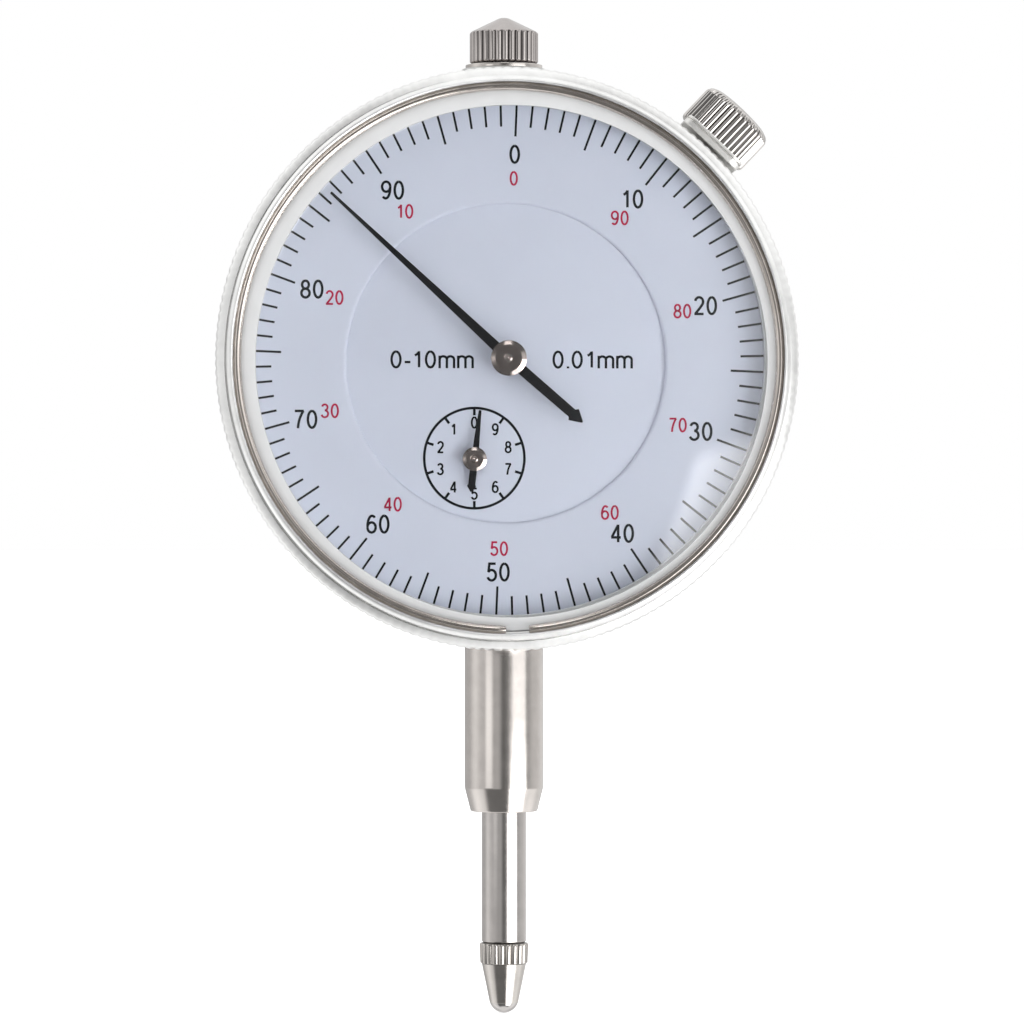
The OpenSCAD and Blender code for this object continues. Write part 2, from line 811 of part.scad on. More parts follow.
module long_hand_blade() {
    l = long_hand;
    color(black) face() translate([0, 0, long_blade_z]) rotate([0, 0, long_hand_angle])
        difference() {
            union() {
                linear_extrude(height = blade_t)
                    polygon([[0.1, l], [0.475, 0], [0.475, -8.4], [0.75, -8.5], [0, -9.75],
                             [-0.75, -8.5], [-0.475, -8.4], [-0.475, 0], [-0.1, l]]);
                rod(1.5, 0, blade_t);
            }
            rod(neck_hub_r, -1, 1);
        }
}

module long_hand_hub() {
    color(steel) face() hub(0.9, 9.6, long_blade_z, 1.775, 0.45, 1.25, 0.8);
}

// ---------- bezel clamp ----------

shoe_z = 29.5;                            // inner face of the shoe, along the clamp's axis
shoe_t = 1;
shoe_w = 7.2;
shoe_front = -8.6;                        // edge that reaches over the bezel
shoe_rear = 3.8;
shank_r = 1.45;
knob_z = shoe_z + shoe_t;
knob_h = 4.55;
knob_flutes = 40;
knob_base_chamfer = 0.3;
knob_end_chamfer = 0.7;

module clamp_shoe() {
    color(steel) clamp_frame() difference() {
        translate([-shoe_w / 2, shoe_front, shoe_z]) cube([shoe_w, shoe_rear - shoe_front, shoe_t]);
        rod(shank_r + 0.15, shoe_z - 1, knob_z + 1);
    }
}

module clamp_screw() {
    color(steel) clamp_frame() rod(shank_r, clamp_boss_low + 0.2, knob_z + knob_h - 1);
}

module clamp_knob() {
    r = clamp_knob_d / 2;
    core_r = r - 0.75 * flute_depth;
    top = knob_z + knob_h;
    color(steel) clamp_frame() difference() {
        union() {
            lobed_disc(r, flute_depth, knob_flutes, knob_z + knob_base_chamfer, top - knob_end_chamfer);
            turned([[0, knob_z], [core_r - knob_base_chamfer, knob_z],
                    [core_r, knob_z + knob_base_chamfer + 0.1], [core_r, top - knob_end_chamfer - 0.1],
                    [r - 0.3, top - 0.25], [r - 0.8, top], [0, top]]);
        }
        rod(shank_r, knob_z - 1, top - 1);
    }
}

// ---------- output ----------

case_body();
stem_sleeve();
stem_lower_bush();
stem_upper_bush();
top_bush();
back_cover();
back_cover_screws();
lug();
lug_screws();
movement_bridge();
bridge_pillars();
bridge_screws();
front_bushes();
rear_bushes();
pinion_cock();
pinion_cock_screws();
guide_rail();
guide_rail_screws();
spring_post();
hairspring_stud();
inner_dial();
bezel_retaining_wire();
bezel_ring();
crystal();
crystal_retaining_ring();
scale_dial();
plunger_rod();
contact_point();
contact_ball();
lifting_cap();
guide_pin();
return_spring();
rack_pinion();
main_gear();
counter_hand_blade();
counter_hand_hub();
centre_pinion();
long_hand_blade();
long_hand_hub();
takeup_arbor();
takeup_gear();
hairspring();
clamp_shoe();
clamp_screw();
clamp_knob();
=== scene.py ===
"""Looks of the dial indicator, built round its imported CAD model.

Pieces are modelled in millimetres, in one of three local frames, and then set in the row frame:
  FACE     x right, y up, z towards the viewer, origin at the dial's centre
  UPRIGHT  z up along the plunger, origin level with the dial's centre
  CLAMP    z outwards along the bezel clamp's axis, origin at the dial's centre
"""

import json
import math

import bmesh
import bpy
from mathutils import Matrix, Vector


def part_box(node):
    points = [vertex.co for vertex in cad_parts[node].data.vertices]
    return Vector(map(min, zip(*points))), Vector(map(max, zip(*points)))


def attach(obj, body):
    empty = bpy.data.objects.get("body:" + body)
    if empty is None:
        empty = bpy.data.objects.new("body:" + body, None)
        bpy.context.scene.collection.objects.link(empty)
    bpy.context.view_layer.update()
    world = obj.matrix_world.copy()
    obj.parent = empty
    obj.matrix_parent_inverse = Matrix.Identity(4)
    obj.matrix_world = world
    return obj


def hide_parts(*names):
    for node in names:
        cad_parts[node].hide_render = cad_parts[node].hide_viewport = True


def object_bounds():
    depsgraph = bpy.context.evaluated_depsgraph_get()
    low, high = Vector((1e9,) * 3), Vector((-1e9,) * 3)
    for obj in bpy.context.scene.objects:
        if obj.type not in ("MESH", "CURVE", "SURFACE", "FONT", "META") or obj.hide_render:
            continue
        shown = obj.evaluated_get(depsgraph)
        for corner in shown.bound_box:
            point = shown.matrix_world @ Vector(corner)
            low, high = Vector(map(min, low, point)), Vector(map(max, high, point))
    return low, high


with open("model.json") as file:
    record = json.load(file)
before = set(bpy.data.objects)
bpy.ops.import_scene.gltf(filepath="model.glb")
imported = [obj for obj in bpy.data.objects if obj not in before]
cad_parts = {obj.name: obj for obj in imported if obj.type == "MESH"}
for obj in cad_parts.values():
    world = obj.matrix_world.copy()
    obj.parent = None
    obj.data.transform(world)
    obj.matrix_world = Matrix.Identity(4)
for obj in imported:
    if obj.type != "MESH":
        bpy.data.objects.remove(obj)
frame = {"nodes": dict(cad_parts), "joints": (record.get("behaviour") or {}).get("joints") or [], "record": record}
cad_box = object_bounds()

MM = 0.001
TAU = 2 * math.pi


# ---------- places taken from the frame ----------

def low(node):
    """Lowest corner of a CAD node, in millimetres."""
    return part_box(node)[0] / MM


def high(node):
    """Highest corner of a CAD node, in millimetres."""
    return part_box(node)[1] / MM


def middle(node):
    return (low(node) + high(node)) / 2


def radius(node):
    """Half the width of a round CAD node."""
    return (high(node).x - low(node).x) / 2


def radius_along_clamp(node):
    """Radius of a node that is round about the clamp's axis: its depth shows it undistorted."""
    return (high(node).y - low(node).y) / 2


def reach_along_clamp(node):
    """Inner and outer end of a node along the clamp's axis, from the dial's centre."""
    s, c = math.sin(CLAMP_ANGLE), math.cos(CLAMP_ANGLE)
    reach = [v.co.x / MM * s + (v.co.z / MM - DIAL_Z) * c for v in frame["nodes"][node].data.vertices]
    return min(reach), max(reach)


def front(node):
    """How far a CAD node reaches towards the viewer from the plunger's axis."""
    return -low(node).y


def rear(node):
    """How far towards the viewer its back is."""
    return -high(node).y


DIAL_Z = middle("scale_dial").z
COUNTER = Vector((middle("counter_hand_hub").x, middle("counter_hand_hub").z - DIAL_Z))


def level(z):
    """A row height as a height above the dial's centre."""
    return z - DIAL_Z


def joint(name):
    return next(j for j in frame["joints"] if j["name"] == name)


def mount(name):
    return next(m for m in frame["record"]["mounts"] if m["name"] == name)


def hand_angle(node, pivot):
    """Angle of a hand at rest, anticlockwise from 12 o'clock, and its length from the pivot."""
    points = [Vector((v.co.x / MM, v.co.z / MM - DIAL_Z)) - pivot for v in frame["nodes"][node].data.vertices]
    tip = max(points, key=lambda p: p.length)
    return math.atan2(-tip.x, tip.y), tip.length


clamp_axis = joint("clamp_screw_turn")["axis"]
CLAMP_ANGLE = math.atan2(-clamp_axis[0], -clamp_axis[2])
ORIGIN = Matrix.Scale(MM, 4) @ Matrix.Translation((0, 0, DIAL_Z))
FACE = ORIGIN @ Matrix.Rotation(math.radians(90), 4, "X")
UPRIGHT = ORIGIN
CLAMP = ORIGIN @ Matrix.Rotation(CLAMP_ANGLE, 4, "Y")


# ---------- mesh tools ----------

def linked(name, data):
    """A new object in the scene."""
    obj = bpy.data.objects.new(name, data)
    bpy.context.scene.collection.objects.link(obj)
    return obj


def finished(name, mesh, place, body, material, replaces=(), sharp=40):
    """Sets a mesh drawn in a local frame in the row frame, shades it and ties it to its body."""
    mesh.transform(place)
    mesh.name = name
    mesh.shade_smooth()
    mesh.set_sharp_from_angle(angle=math.radians(sharp))
    for m in material if isinstance(material, (list, tuple)) else [material]:
        mesh.materials.append(m)
    obj = linked(name, mesh)
    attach(obj, body)
    if replaces:
        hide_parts(*replaces)
    return obj


def mesh_from(bm):
    bmesh.ops.recalc_face_normals(bm, faces=bm.faces)
    mesh = bpy.data.meshes.new("piece")
    bm.to_mesh(mesh)
    bm.free()
    return mesh


ON_AXIS = 1e-6      # a profile point nearer the axis than this is on it
TINY = 1e-9         # no length to speak of


def softened(points, size, steps=3):
    """A profile of (radius, height, lobe weight) points with each corner rounded."""
    out = []
    pts = [Vector((*p, 0) if len(p) == 2 else p) for p in points]
    for i, p in enumerate(pts):
        if p.x < ON_AXIS:
            out.append(p)
            continue
        a = pts[i - 1] - p
        b = pts[(i + 1) % len(pts)] - p
        reach_a = min(size, 0.4 * Vector(a[:2]).length)
        reach_b = min(size, 0.4 * Vector(b[:2]).length)
        start = p + a * (reach_a / max(Vector(a[:2]).length, TINY))
        end = p + b * (reach_b / max(Vector(b[:2]).length, TINY))
        for k in range(steps + 1):
            t = k / steps
            out.append(start.lerp(p, t).lerp(p.lerp(end, t), t))
    return out


def add_lathe(bm, profile, segments=192, lobes=0, depth=0.0, sharpness=1.0, centre=(0, 0), material=0):
    """Adds a turned solid. Its closed profile runs round the section as (radius, height, lobe weight)."""
    pts = [Vector((*p, 0)) if len(p) == 2 else Vector(p) for p in profile]
    rows = []
    for p in pts:
        if p.x < ON_AXIS:
            rows.append([bm.verts.new((centre[0], centre[1], p.y))])
            continue
        row = []
        for j in range(segments):
            a = TAU * j / segments
            notch = 1 - abs(math.sin(lobes * a / 2)) ** sharpness if lobes else 0
            r = p.x - depth * p.z * notch
            row.append(bm.verts.new((centre[0] + r * math.cos(a), centre[1] + r * math.sin(a), p.y)))
        rows.append(row)
    for i, row in enumerate(rows):
        other = rows[(i + 1) % len(rows)]
        if len(row) == 1 and len(other) == 1:
            continue
        for j in range(segments):
            k = (j + 1) % segments
            corners = [row[j % len(row)], row[k % len(row)], other[k % len(other)], other[j % len(other)]]
            face = bm.faces.new(list(dict.fromkeys(corners)))
            face.material_index = material


def lathe(profile, soft=0.08, **options):
    bm = bmesh.new()
    add_lathe(bm, softened(profile, soft) if soft else profile, **options)
    return mesh_from(bm)


def add_stack(bm, outlines, closed=False):
    """Adds a solid through a row of 3-D outlines that have the same number of points."""
    rings = [[bm.verts.new(p) for p in outline] for outline in outlines]
    for a, b in zip(rings, rings[1:] + rings[:1] if closed else rings[1:]):
        for j in range(len(a)):
            k = (j + 1) % len(a)
            bm.faces.new((a[j], a[k], b[k], b[j]))
    if not closed:
        bm.faces.new(rings[0][::-1])
        bm.faces.new(rings[-1])


def add_prism(bm, outline, z0, z1):
    """Adds a closed prism over a list of (x, y) points."""
    add_stack(bm, [[(x, y, z) for x, y in outline] for z in (z0, z1)])


def bevelled(bm, size, angle=30, segments=3):
    """Rounds the edges of a mesh that are sharper than an angle."""
    bmesh.ops.recalc_face_normals(bm, faces=bm.faces)
    edges = [e for e in bm.edges if len(e.link_faces) == 2 and e.calc_face_angle(0) > math.radians(angle)]
    bmesh.ops.bevel(bm, geom=edges, offset=size, segments=segments, affect="EDGES", profile=0.5)


def add_ribbon(bm, points, width, z0, z1, closed=False):
    """Adds a flat stroke of constant width along (x, y) points, as a closed solid."""
    pts = [Vector(p) for p in points]
    n = len(pts)
    sections = []
    for i, p in enumerate(pts):
        before = pts[i - 1] if closed or i else p
        after = pts[(i + 1) % n] if closed or i < n - 1 else p
        first = (p - before).normalized() if (p - before).length > TINY else (after - p).normalized()
        second = (after - p).normalized() if (after - p).length > TINY else first
        along = (first + second).normalized()
        side = Vector((-along.y, along.x))
        mitre = max(0.5, side.dot(Vector((-first.y, first.x))))
        half = side * (width / 2 / mitre)
        left, right = p + half, p - half
        sections.append([(*left, z0), (*right, z0), (*right, z1), (*left, z1)])
    add_stack(bm, sections, closed)


def add_tube(bm, path, r, sides=16):
    """Adds a round wire along 3-D points, with domed ends."""
    pts = [Vector(p) for p in path]
    turns = [TAU * j / sides for j in range(sides)]
    rings = []
    for i, p in enumerate(pts):
        along = (pts[min(i + 1, len(pts) - 1)] - pts[max(i - 1, 0)]).normalized()
        across = along.cross(Vector((0, 0, 1))).normalized()
        up = across.cross(along)
        shrink = 0.8 if i in (0, len(pts) - 1) else 1.0
        rings.append([p + r * shrink * (across * math.cos(a) + up * math.sin(a)) for a in turns])
    add_stack(bm, rings)


def cut(mesh, cutter):
    """A mesh with another taken out of it."""
    body, tool = linked("work", mesh), linked("work", cutter)
    modifier = body.modifiers.new("cut", "BOOLEAN")
    modifier.operation = "DIFFERENCE"
    modifier.solver = "EXACT"
    modifier.object = tool
    view = bpy.context.evaluated_depsgraph_get()
    view.update()
    result = bpy.data.meshes.new_from_object(body.evaluated_get(view))
    bpy.data.objects.remove(body)
    bpy.data.objects.remove(tool)
    return result


HEAD_H = 0.7
HEAD_CHAMFER = 0.12
SLOT_W = 0.42
SLOT_DEPTH = 0.32


def slotted(head_r, place, spin):
    """Mesh of a screw head with a bevelled rim and a driver slot, its face at the place."""
    rim = head_r - HEAD_CHAMFER
    head = lathe([(0, -HEAD_H), (rim, -HEAD_H), (head_r, HEAD_CHAMFER - HEAD_H), (head_r, -HEAD_CHAMFER),
                  (rim, 0), (0, 0)], soft=0.04, segments=64)
    bm = bmesh.new()
    reach, half = head_r + 1, SLOT_W / 2
    add_prism(bm, [(-reach, -half), (reach, -half), (reach, half), (-reach, half)], -SLOT_DEPTH, 1)
    result = cut(head, mesh_from(bm))
    result.transform(Matrix.Translation(place) @ Matrix.Rotation(spin, 4, "Z"))
    return result


def joined(meshes):
    bm = bmesh.new()
    for m in meshes:
        bm.from_mesh(m)
    return mesh_from(bm)


# ---------- materials ----------

class Graph:
    """Short names for the shader nodes that the materials and the studio share."""

    def __init__(self, tree):
        self.tree = tree

    def feed(self, socket, source):
        if isinstance(source, bpy.types.NodeSocket):
            self.tree.links.new(source, socket)
        else:
            socket.default_value = source

    def node(self, kind, sources=(), **settings):
        """A node, with what goes into its sockets."""
        n = self.tree.nodes.new(kind)
        for key, value in settings.items():
            setattr(n, key, value)
        for socket, source in dict(sources).items():
            self.feed(n.inputs[socket], source)
        return n

    def math(self, operation, a, b=0.0):
        return self.node("ShaderNodeMath", {0: a, 1: b}, operation=operation).outputs[0]

    def times(self, vector, factor):
        return self.node("ShaderNodeVectorMath", {0: vector, "Scale": factor}, operation="SCALE").outputs[0]

    def split(self, vector):
        return self.node("ShaderNodeSeparateXYZ", {0: vector}).outputs

    def combine(self, x=0.0, y=0.0, z=0.0):
        return self.node("ShaderNodeCombineXYZ", {0: x, 1: y, 2: z}).outputs[0]

    def noise(self, vector, scale, detail=3.0, rough=0.5):
        sources = {"Vector": vector, "Scale": scale, "Detail": detail, "Roughness": rough}
        return self.node("ShaderNodeTexNoise", sources).outputs["Fac"]

    def ramp(self, factor, stops, blend="LINEAR"):
        n = self.node("ShaderNodeValToRGB", {0: factor})
        n.color_ramp.interpolation = blend
        while len(n.color_ramp.elements) < len(stops):
            n.color_ramp.elements.new(0.5)
        for element, (place, color) in zip(n.color_ramp.elements, stops):
            element.position = place
            element.color = (*color, 1) if hasattr(color, "__len__") else (color, color, color, 1)
        return n.outputs["Color"]

    def span(self, factor, low_value, high_value, start=0.0, end=1.0, blend="LINEAR"):
        """Spreads a factor from start..end to a range."""
        sources = {"Value": factor, "From Min": start, "From Max": end, "To Min": low_value,
                   "To Max": high_value}
        return self.node("ShaderNodeMapRange", sources, interpolation_type=blend).outputs["Result"]


class Nodes(Graph):
    """A material with one Principled shader."""

    def __init__(self, name, color, metallic=0.0, roughness=0.5):
        self.material = bpy.data.materials.new(name)
        self.material.use_nodes = True
        super().__init__(self.material.node_tree)
        self.shader = self.tree.nodes["Principled BSDF"]
        self.shader.inputs["Base Color"].default_value = (*color, 1)
        self.shader.inputs["Metallic"].default_value = metallic
        self.shader.inputs["Roughness"].default_value = roughness

    def position(self):
        return self.node("ShaderNodeTexCoord").outputs["Object"]

    def color(self, source):
        self.feed(self.shader.inputs["Base Color"], source)

    def roughness(self, source):
        self.feed(self.shader.inputs["Roughness"], source)

    def bump(self, height, distance):
        n = self.node("ShaderNodeBump", {"Height": height, "Distance": distance, "Strength": 1.0})
        self.feed(self.shader.inputs["Normal"], n.outputs["Normal"])


def around_axis(n, axis, centre=(0, 0)):
    """A surface point about an axis, in millimetres: its radius, its place along the axis, and two across."""
    x, y, z = n.split(n.position())
    x = n.math("SUBTRACT", n.math("MULTIPLY", x, 1 / MM), centre[0])
    y = n.math("MULTIPLY", y, 1 / MM)
    z = n.math("SUBTRACT", n.math("MULTIPLY", z, 1 / MM), DIAL_Z + centre[1])
    if axis == "face":
        across, up, along = x, z, y
    elif axis == "upright":
        across, up, along = x, y, z
    else:
        s, c = math.sin(CLAMP_ANGLE), math.cos(CLAMP_ANGLE)
        across = n.math("SUBTRACT", n.math("MULTIPLY", x, c), n.math("MULTIPLY", z, s))
        up = y
        along = n.math("ADD", n.math("MULTIPLY", x, s), n.math("MULTIPLY", z, c))
    length = n.math("SQRT", n.math("ADD", n.math("MULTIPLY", across, across), n.math("MULTIPLY", up, up)))
    return length, along, across, up


def shades(color, spread):
    """Ramp stops from a little darker to a little lighter than a colour."""
    return [(0.3, tuple(c * (1 - spread) for c in color)),
            (0.7, tuple(min(1, c * (1 + spread)) for c in color))]


def turned_metal(name, color, roughness, axis="face", lines=9.0, groove=0.004, spread=0.06, centre=(0, 0),
                 valley=None):
    """Metal with the fine rings that a lathe leaves, and faint handling marks.

    A fluted piece has a valley of painted shade, which darkens the floors of its flutes: (floor radius,
    ridge radius, share of the colour left on the floor, and the flutes' two ends along the axis).
    """
    n = Nodes(name, color, metallic=1.0)
    r, along, across, up = around_axis(n, axis, centre)
    rings = n.noise(n.combine(r, along, 0.0), lines, detail=4.0, rough=0.65)
    marks = n.noise(n.combine(across, up, along), 0.55, detail=5.0, rough=0.6)
    tone = n.ramp(marks, shades(color, spread))
    if valley:
        floor_r, ridge_r, kept, start, end = valley
        beyond = n.math("MAXIMUM", n.math("LESS_THAN", along, start), n.math("GREATER_THAN", along, end))
        # painted shade in the flute floors: the colour darkens from the ridges down to the floors
        painted_valley_shade = n.span(r, kept, 1.0, floor_r, ridge_r, "SMOOTHSTEP")
        tone = n.times(tone, n.math("MAXIMUM", painted_valley_shade, beyond))
    n.color(tone)
    worn = n.math("ADD", n.span(rings, -0.06, 0.06), n.span(marks, roughness - 0.05, roughness + 0.07))
    n.roughness(worn)
    n.bump(rings, groove * MM)
    return n.material


def rough_metal(name, color, roughness, grain=3.5, depth=0.03, spread=0.08):
    """Cast or tumbled metal: a fine uneven skin with small pits."""
    n = Nodes(name, color, metallic=1.0)
    place = n.times(n.position(), 1 / MM)
    fine = n.noise(place, grain, detail=6.0, rough=0.6)
    broad = n.noise(place, 0.25, detail=3.0)
    n.color(n.ramp(broad, shades(color, spread)))
    n.roughness(n.math("ADD", n.span(fine, -0.1, 0.1), roughness))
    n.bump(fine, depth * MM)
    return n.material


def paint(name, color, roughness, grain=18.0, depth=0.002, spread=0.012, gloss=0.4):
    """Even matte paint with a very fine grain."""
    n = Nodes(name, color, roughness=roughness)
    n.shader.inputs["Specular IOR Level"].default_value = gloss
    place = n.times(n.position(), 1 / MM)
    fine = n.noise(place, grain, detail=4.0)
    broad = n.noise(place, 0.12, detail=2.0)
    n.color(n.ramp(broad, shades(color, spread)))
    n.roughness(n.span(fine, roughness - 0.08, roughness + 0.08))
    n.bump(fine, depth * MM)
    return n.material


def clear_crystal(name):
    """Clear moulded acrylic, with the faintest wipe marks in its gloss."""
    n = Nodes(name, (0.97, 0.985, 0.99), roughness=0.01)
    n.shader.inputs["Transmission Weight"].default_value = 1.0
    n.shader.inputs["IOR"].default_value = 1.45
    across, up = around_axis(n, "face")[2:]
    wipe = n.noise(n.combine(across, up, 0.0), 0.08, detail=3.0)
    n.roughness(n.span(wipe, 0.0, 0.012))
    return n.material


def crystal_edge(name):
    """The crystal's moulded flange, milky where it sits in the bezel."""
    milky = (0.53, 0.535, 0.54)
    n = Nodes(name, milky, roughness=0.5)
    across, up = around_axis(n, "face")[2:]
    haze = n.noise(n.combine(across, up, 0.0), 0.35, detail=3.0)
    n.color(n.ramp(haze, shades(milky, 0.03)))
    n.roughness(n.span(haze, 0.45, 0.6))
    return n.material


CAP_DRUM = level(low("lifting_cap").z) + 3.4    # top of the cap's knurled part
TIP_R = radius("contact_point")
CAP_R = radius("lifting_cap")
KNOB_R = radius_along_clamp("clamp_knob")
KNOB_LOW, KNOB_HIGH = reach_along_clamp("clamp_knob")
FAR = 100                                       # beyond any piece, for a valley with an open end

bezel_metal = turned_metal("bezel_metal", (0.93, 0.93, 0.92), 0.34, lines=5.0, groove=0.006, spread=0.07)
case_metal = rough_metal("case_metal", (0.62, 0.62, 0.61), 0.42)
back_metal = turned_metal("back_metal", (0.64, 0.64, 0.63), 0.36, lines=3.0, groove=0.008)
stem_metal = turned_metal("stem_metal", (0.64, 0.60, 0.57), 0.17, axis="upright", lines=7.0, groove=0.003)
plunger_metal = turned_metal("plunger_metal", (0.57, 0.54, 0.52), 0.2, axis="upright", lines=10.0,
                             groove=0.002)
# the tip, cap and knob metals get painted shade in their flute floors through their valleys
tip_metal = turned_metal("tip_metal", (0.56, 0.53, 0.50), 0.18, axis="upright", lines=8.0, groove=0.004,
                         valley=(TIP_R - 0.24, TIP_R - 0.04, 0.4, level(low("plunger_rod").z) - 2.2, FAR))
cap_metal = turned_metal("cap_metal", (0.50, 0.465, 0.45), 0.14, axis="upright", lines=6.0, groove=0.002,
                         valley=(CAP_R - 0.2, CAP_R - 0.02, 0.2, -FAR, CAP_DRUM - 0.1))
knob_metal = turned_metal("knob_metal", (0.62, 0.595, 0.575), 0.10, axis="clamp", lines=6.0, groove=0.001,
                          valley=(KNOB_R - 0.27, KNOB_R - 0.05, 0.2, KNOB_LOW + 0.2, KNOB_HIGH - 0.6))
shoe_metal = rough_metal("shoe_metal", (0.86, 0.85, 0.83), 0.5, grain=6.0, depth=0.008)
ball_metal = turned_metal("ball_metal", (0.52, 0.50, 0.485), 0.08, axis="upright", lines=3.0, groove=0.0005)
wire_metal = turned_metal("wire_metal", (0.60, 0.55, 0.51), 0.2, lines=12.0, groove=0.002)
hub_metal = turned_metal("hub_metal", (0.37, 0.315, 0.295), 0.13, lines=12.0, groove=0.0005, spread=0.1)
counter_hub_metal = turned_metal("counter_hub_metal", (0.37, 0.315, 0.295), 0.13, lines=12.0, groove=0.0005,
                                 spread=0.1, centre=COUNTER)
screw_metal = rough_metal("screw_metal", (0.50, 0.48, 0.46), 0.25, grain=8.0, depth=0.004)
lug_metal = rough_metal("lug_metal", (0.66, 0.66, 0.65), 0.38, grain=4.0, depth=0.02)
brass_metal = rough_metal("brass_metal", (0.72, 0.52, 0.22), 0.28, grain=7.0, depth=0.004)
movement_metal = rough_metal("movement_metal", (0.56, 0.56, 0.56), 0.22, grain=9.0, depth=0.003)
dial_paint = paint("dial_paint", (0.668, 0.69, 0.795), 0.6)
hand_paint = paint("hand_paint", (0.006, 0.006, 0.008), 0.55, grain=14.0, depth=0.003, spread=0.2, gloss=0.1)
black_ink = paint("black_ink", (0.004, 0.004, 0.008), 0.6, spread=0.1, gloss=0.05)
red_ink = paint("red_ink", (0.47, 0.02, 0.07), 0.6, spread=0.06, gloss=0.1)
crystal_clear = clear_crystal("crystal_clear")
crystal_rim = crystal_edge("crystal_rim")


# ---------- numerals ----------

def arc(cx, cy, rx, ry, start, end, steps=20):
    """Points of an elliptical arc, in degrees anticlockwise from the right."""
    return [
        (cx + rx * math.cos(math.radians(start + (end - start) * i / steps)),
         cy + ry * math.sin(math.radians(start + (end - start) * i / steps)))
        for i in range(steps + 1)
    ]


def curve(a, b, c, steps=12):
    """Points of a quadratic curve from a to c, drawn towards b."""
    a, b, c = Vector(a), Vector(b), Vector(c)
    return [tuple(a.lerp(b, i / steps).lerp(b.lerp(c, i / steps), i / steps)) for i in range(steps + 1)]


# Strokes of each numeral, in a box one unit high
SIX = [arc(0.28, 0.32, 0.22, 0.27, 180, 540, 36),
       arc(0.31, 0.36, 0.25, 0.59, 178, 105) + arc(0.29, 0.76, 0.18, 0.19, 82, 25, 8)]
GLYPHS = {
    "0": [arc(0.28, 0.5, 0.22, 0.45, 90, 450, 40)],
    "1": [[(0.33, 0.05), (0.33, 0.97)], curve((0.12, 0.73), (0.27, 0.80), (0.33, 0.95))],
    "2": [arc(0.28, 0.71, 0.21, 0.24, 170, -20) + curve((0.47, 0.60), (0.36, 0.40), (0.06, 0.05)),
          [(0.02, 0.05), (0.52, 0.05)]],
    "3": [arc(0.26, 0.74, 0.19, 0.21, 165, -90), arc(0.26, 0.29, 0.23, 0.24, 90, -165)],
    "4": [[(0.39, 0.02), (0.39, 0.97)], [(0.39, 0.95), (0.05, 0.30)], [(0.01, 0.28), (0.53, 0.28)]],
    "5": [[(0.49, 0.95), (0.15, 0.95), (0.10, 0.50)], arc(0.27, 0.33, 0.23, 0.28, 145, -158, 28)],
    "6": SIX,
    "7": [[(0.04, 0.95), (0.52, 0.95)], curve((0.50, 0.95), (0.24, 0.55), (0.21, 0.02))],
    "8": [arc(0.28, 0.735, 0.18, 0.215, 90, 450, 32), arc(0.28, 0.285, 0.22, 0.235, 90, 450, 32)],
    "9": [[(0.56 - x, 1.0 - y) for x, y in stroke] for stroke in SIX],
    ".": [[(0.10, 0.0), (0.10, 0.11)]],
    "-": [[(0.03, 0.35), (0.32, 0.35)]],
    "m": [[(0.06, 0.0), (0.06, 0.72)], arc(0.24, 0.50, 0.18, 0.18, 180, 0, 12) + [(0.42, 0.0)],
          arc(0.60, 0.50, 0.18, 0.18, 180, 0, 12) + [(0.78, 0.0)]],
}
ADVANCE = {".": 0.28, "-": 0.42, "m": 0.93, "1": 0.62}
DIGIT_ADVANCE = 0.68
SIDE_BEARING = 0.06


def add_text(bm, text, centre, height, z0, z1, weight, wide=1.0):
    """Adds upright generic numerals, centred on a point. Their weight is a share of their height."""
    widths = [ADVANCE.get(ch, DIGIT_ADVANCE) for ch in text]
    x = -sum(widths) / 2 + SIDE_BEARING
    for ch, width in zip(text, widths):
        for stroke in GLYPHS[ch]:
            points = [
                (centre[0] + (x + px) * height * wide, centre[1] + (py - 0.5) * height)
                for px, py in stroke
            ]
            add_ribbon(bm, points, weight * height, z0, z1)
        x += width


# ---------- dial ----------

SCALE_TURN = math.radians(-2.3)      # how far the bezel is turned at rest, anticlockwise
INK = 0.012                          # thickness of the printed ink
LINE = 0.22
DIAL_GAP = 0.02                      # the turning scale just clears the fixed inner dial
STEP_LEDGE = 1.3                     # how far the scale reaches over the inner dial's edge
TICK_OUT = 25.9
TICK_IN_MINOR = 23.38
TICK_IN_MAJOR = 22.42
NUMBER_RING, NUMBER_H = 20.65, 1.85
RED_RING, RED_H = 18.25, 1.42
CAPTION_H = 1.75
COUNTER_LINE = 0.26
COUNTER_RING = 5.0
COUNTER_TICK_IN = 4.27
COUNTER_NUMBER_RING, COUNTER_NUMBER_H = 3.55, 1.16
PRINT_SHIFT = Vector((-0.155, -0.275))   # the scale is printed a little off the centre
STEP_SHIFT = Vector((-0.2, -0.43))       # and so is the opening over the inner dial
# numerals that sit a little off their place, by their tenth of the scale
NUMBER_SHIFT = {1: (-0.24, 0), 3: (0.05, 0.2), 4: (0.12, 0.05), 5: (0, -0.35), 7: (-0.1, -0.2),
                9: (0.11, -0.15)}
RED_SHIFT = {2: (0, 0.1), 4: (0.2, 0.13), 5: (0, -0.42), 6: (0, 0.09), 9: (0, -0.26)}


def way(a):
    """Unit vector at an angle anticlockwise from the right."""
    return Vector((math.cos(a), math.sin(a)))


def polar(r, turn):
    """A point of the printed scale, at a clockwise angle from its zero."""
    return PRINT_SHIFT + r * way(math.pi / 2 + SCALE_TURN - turn)


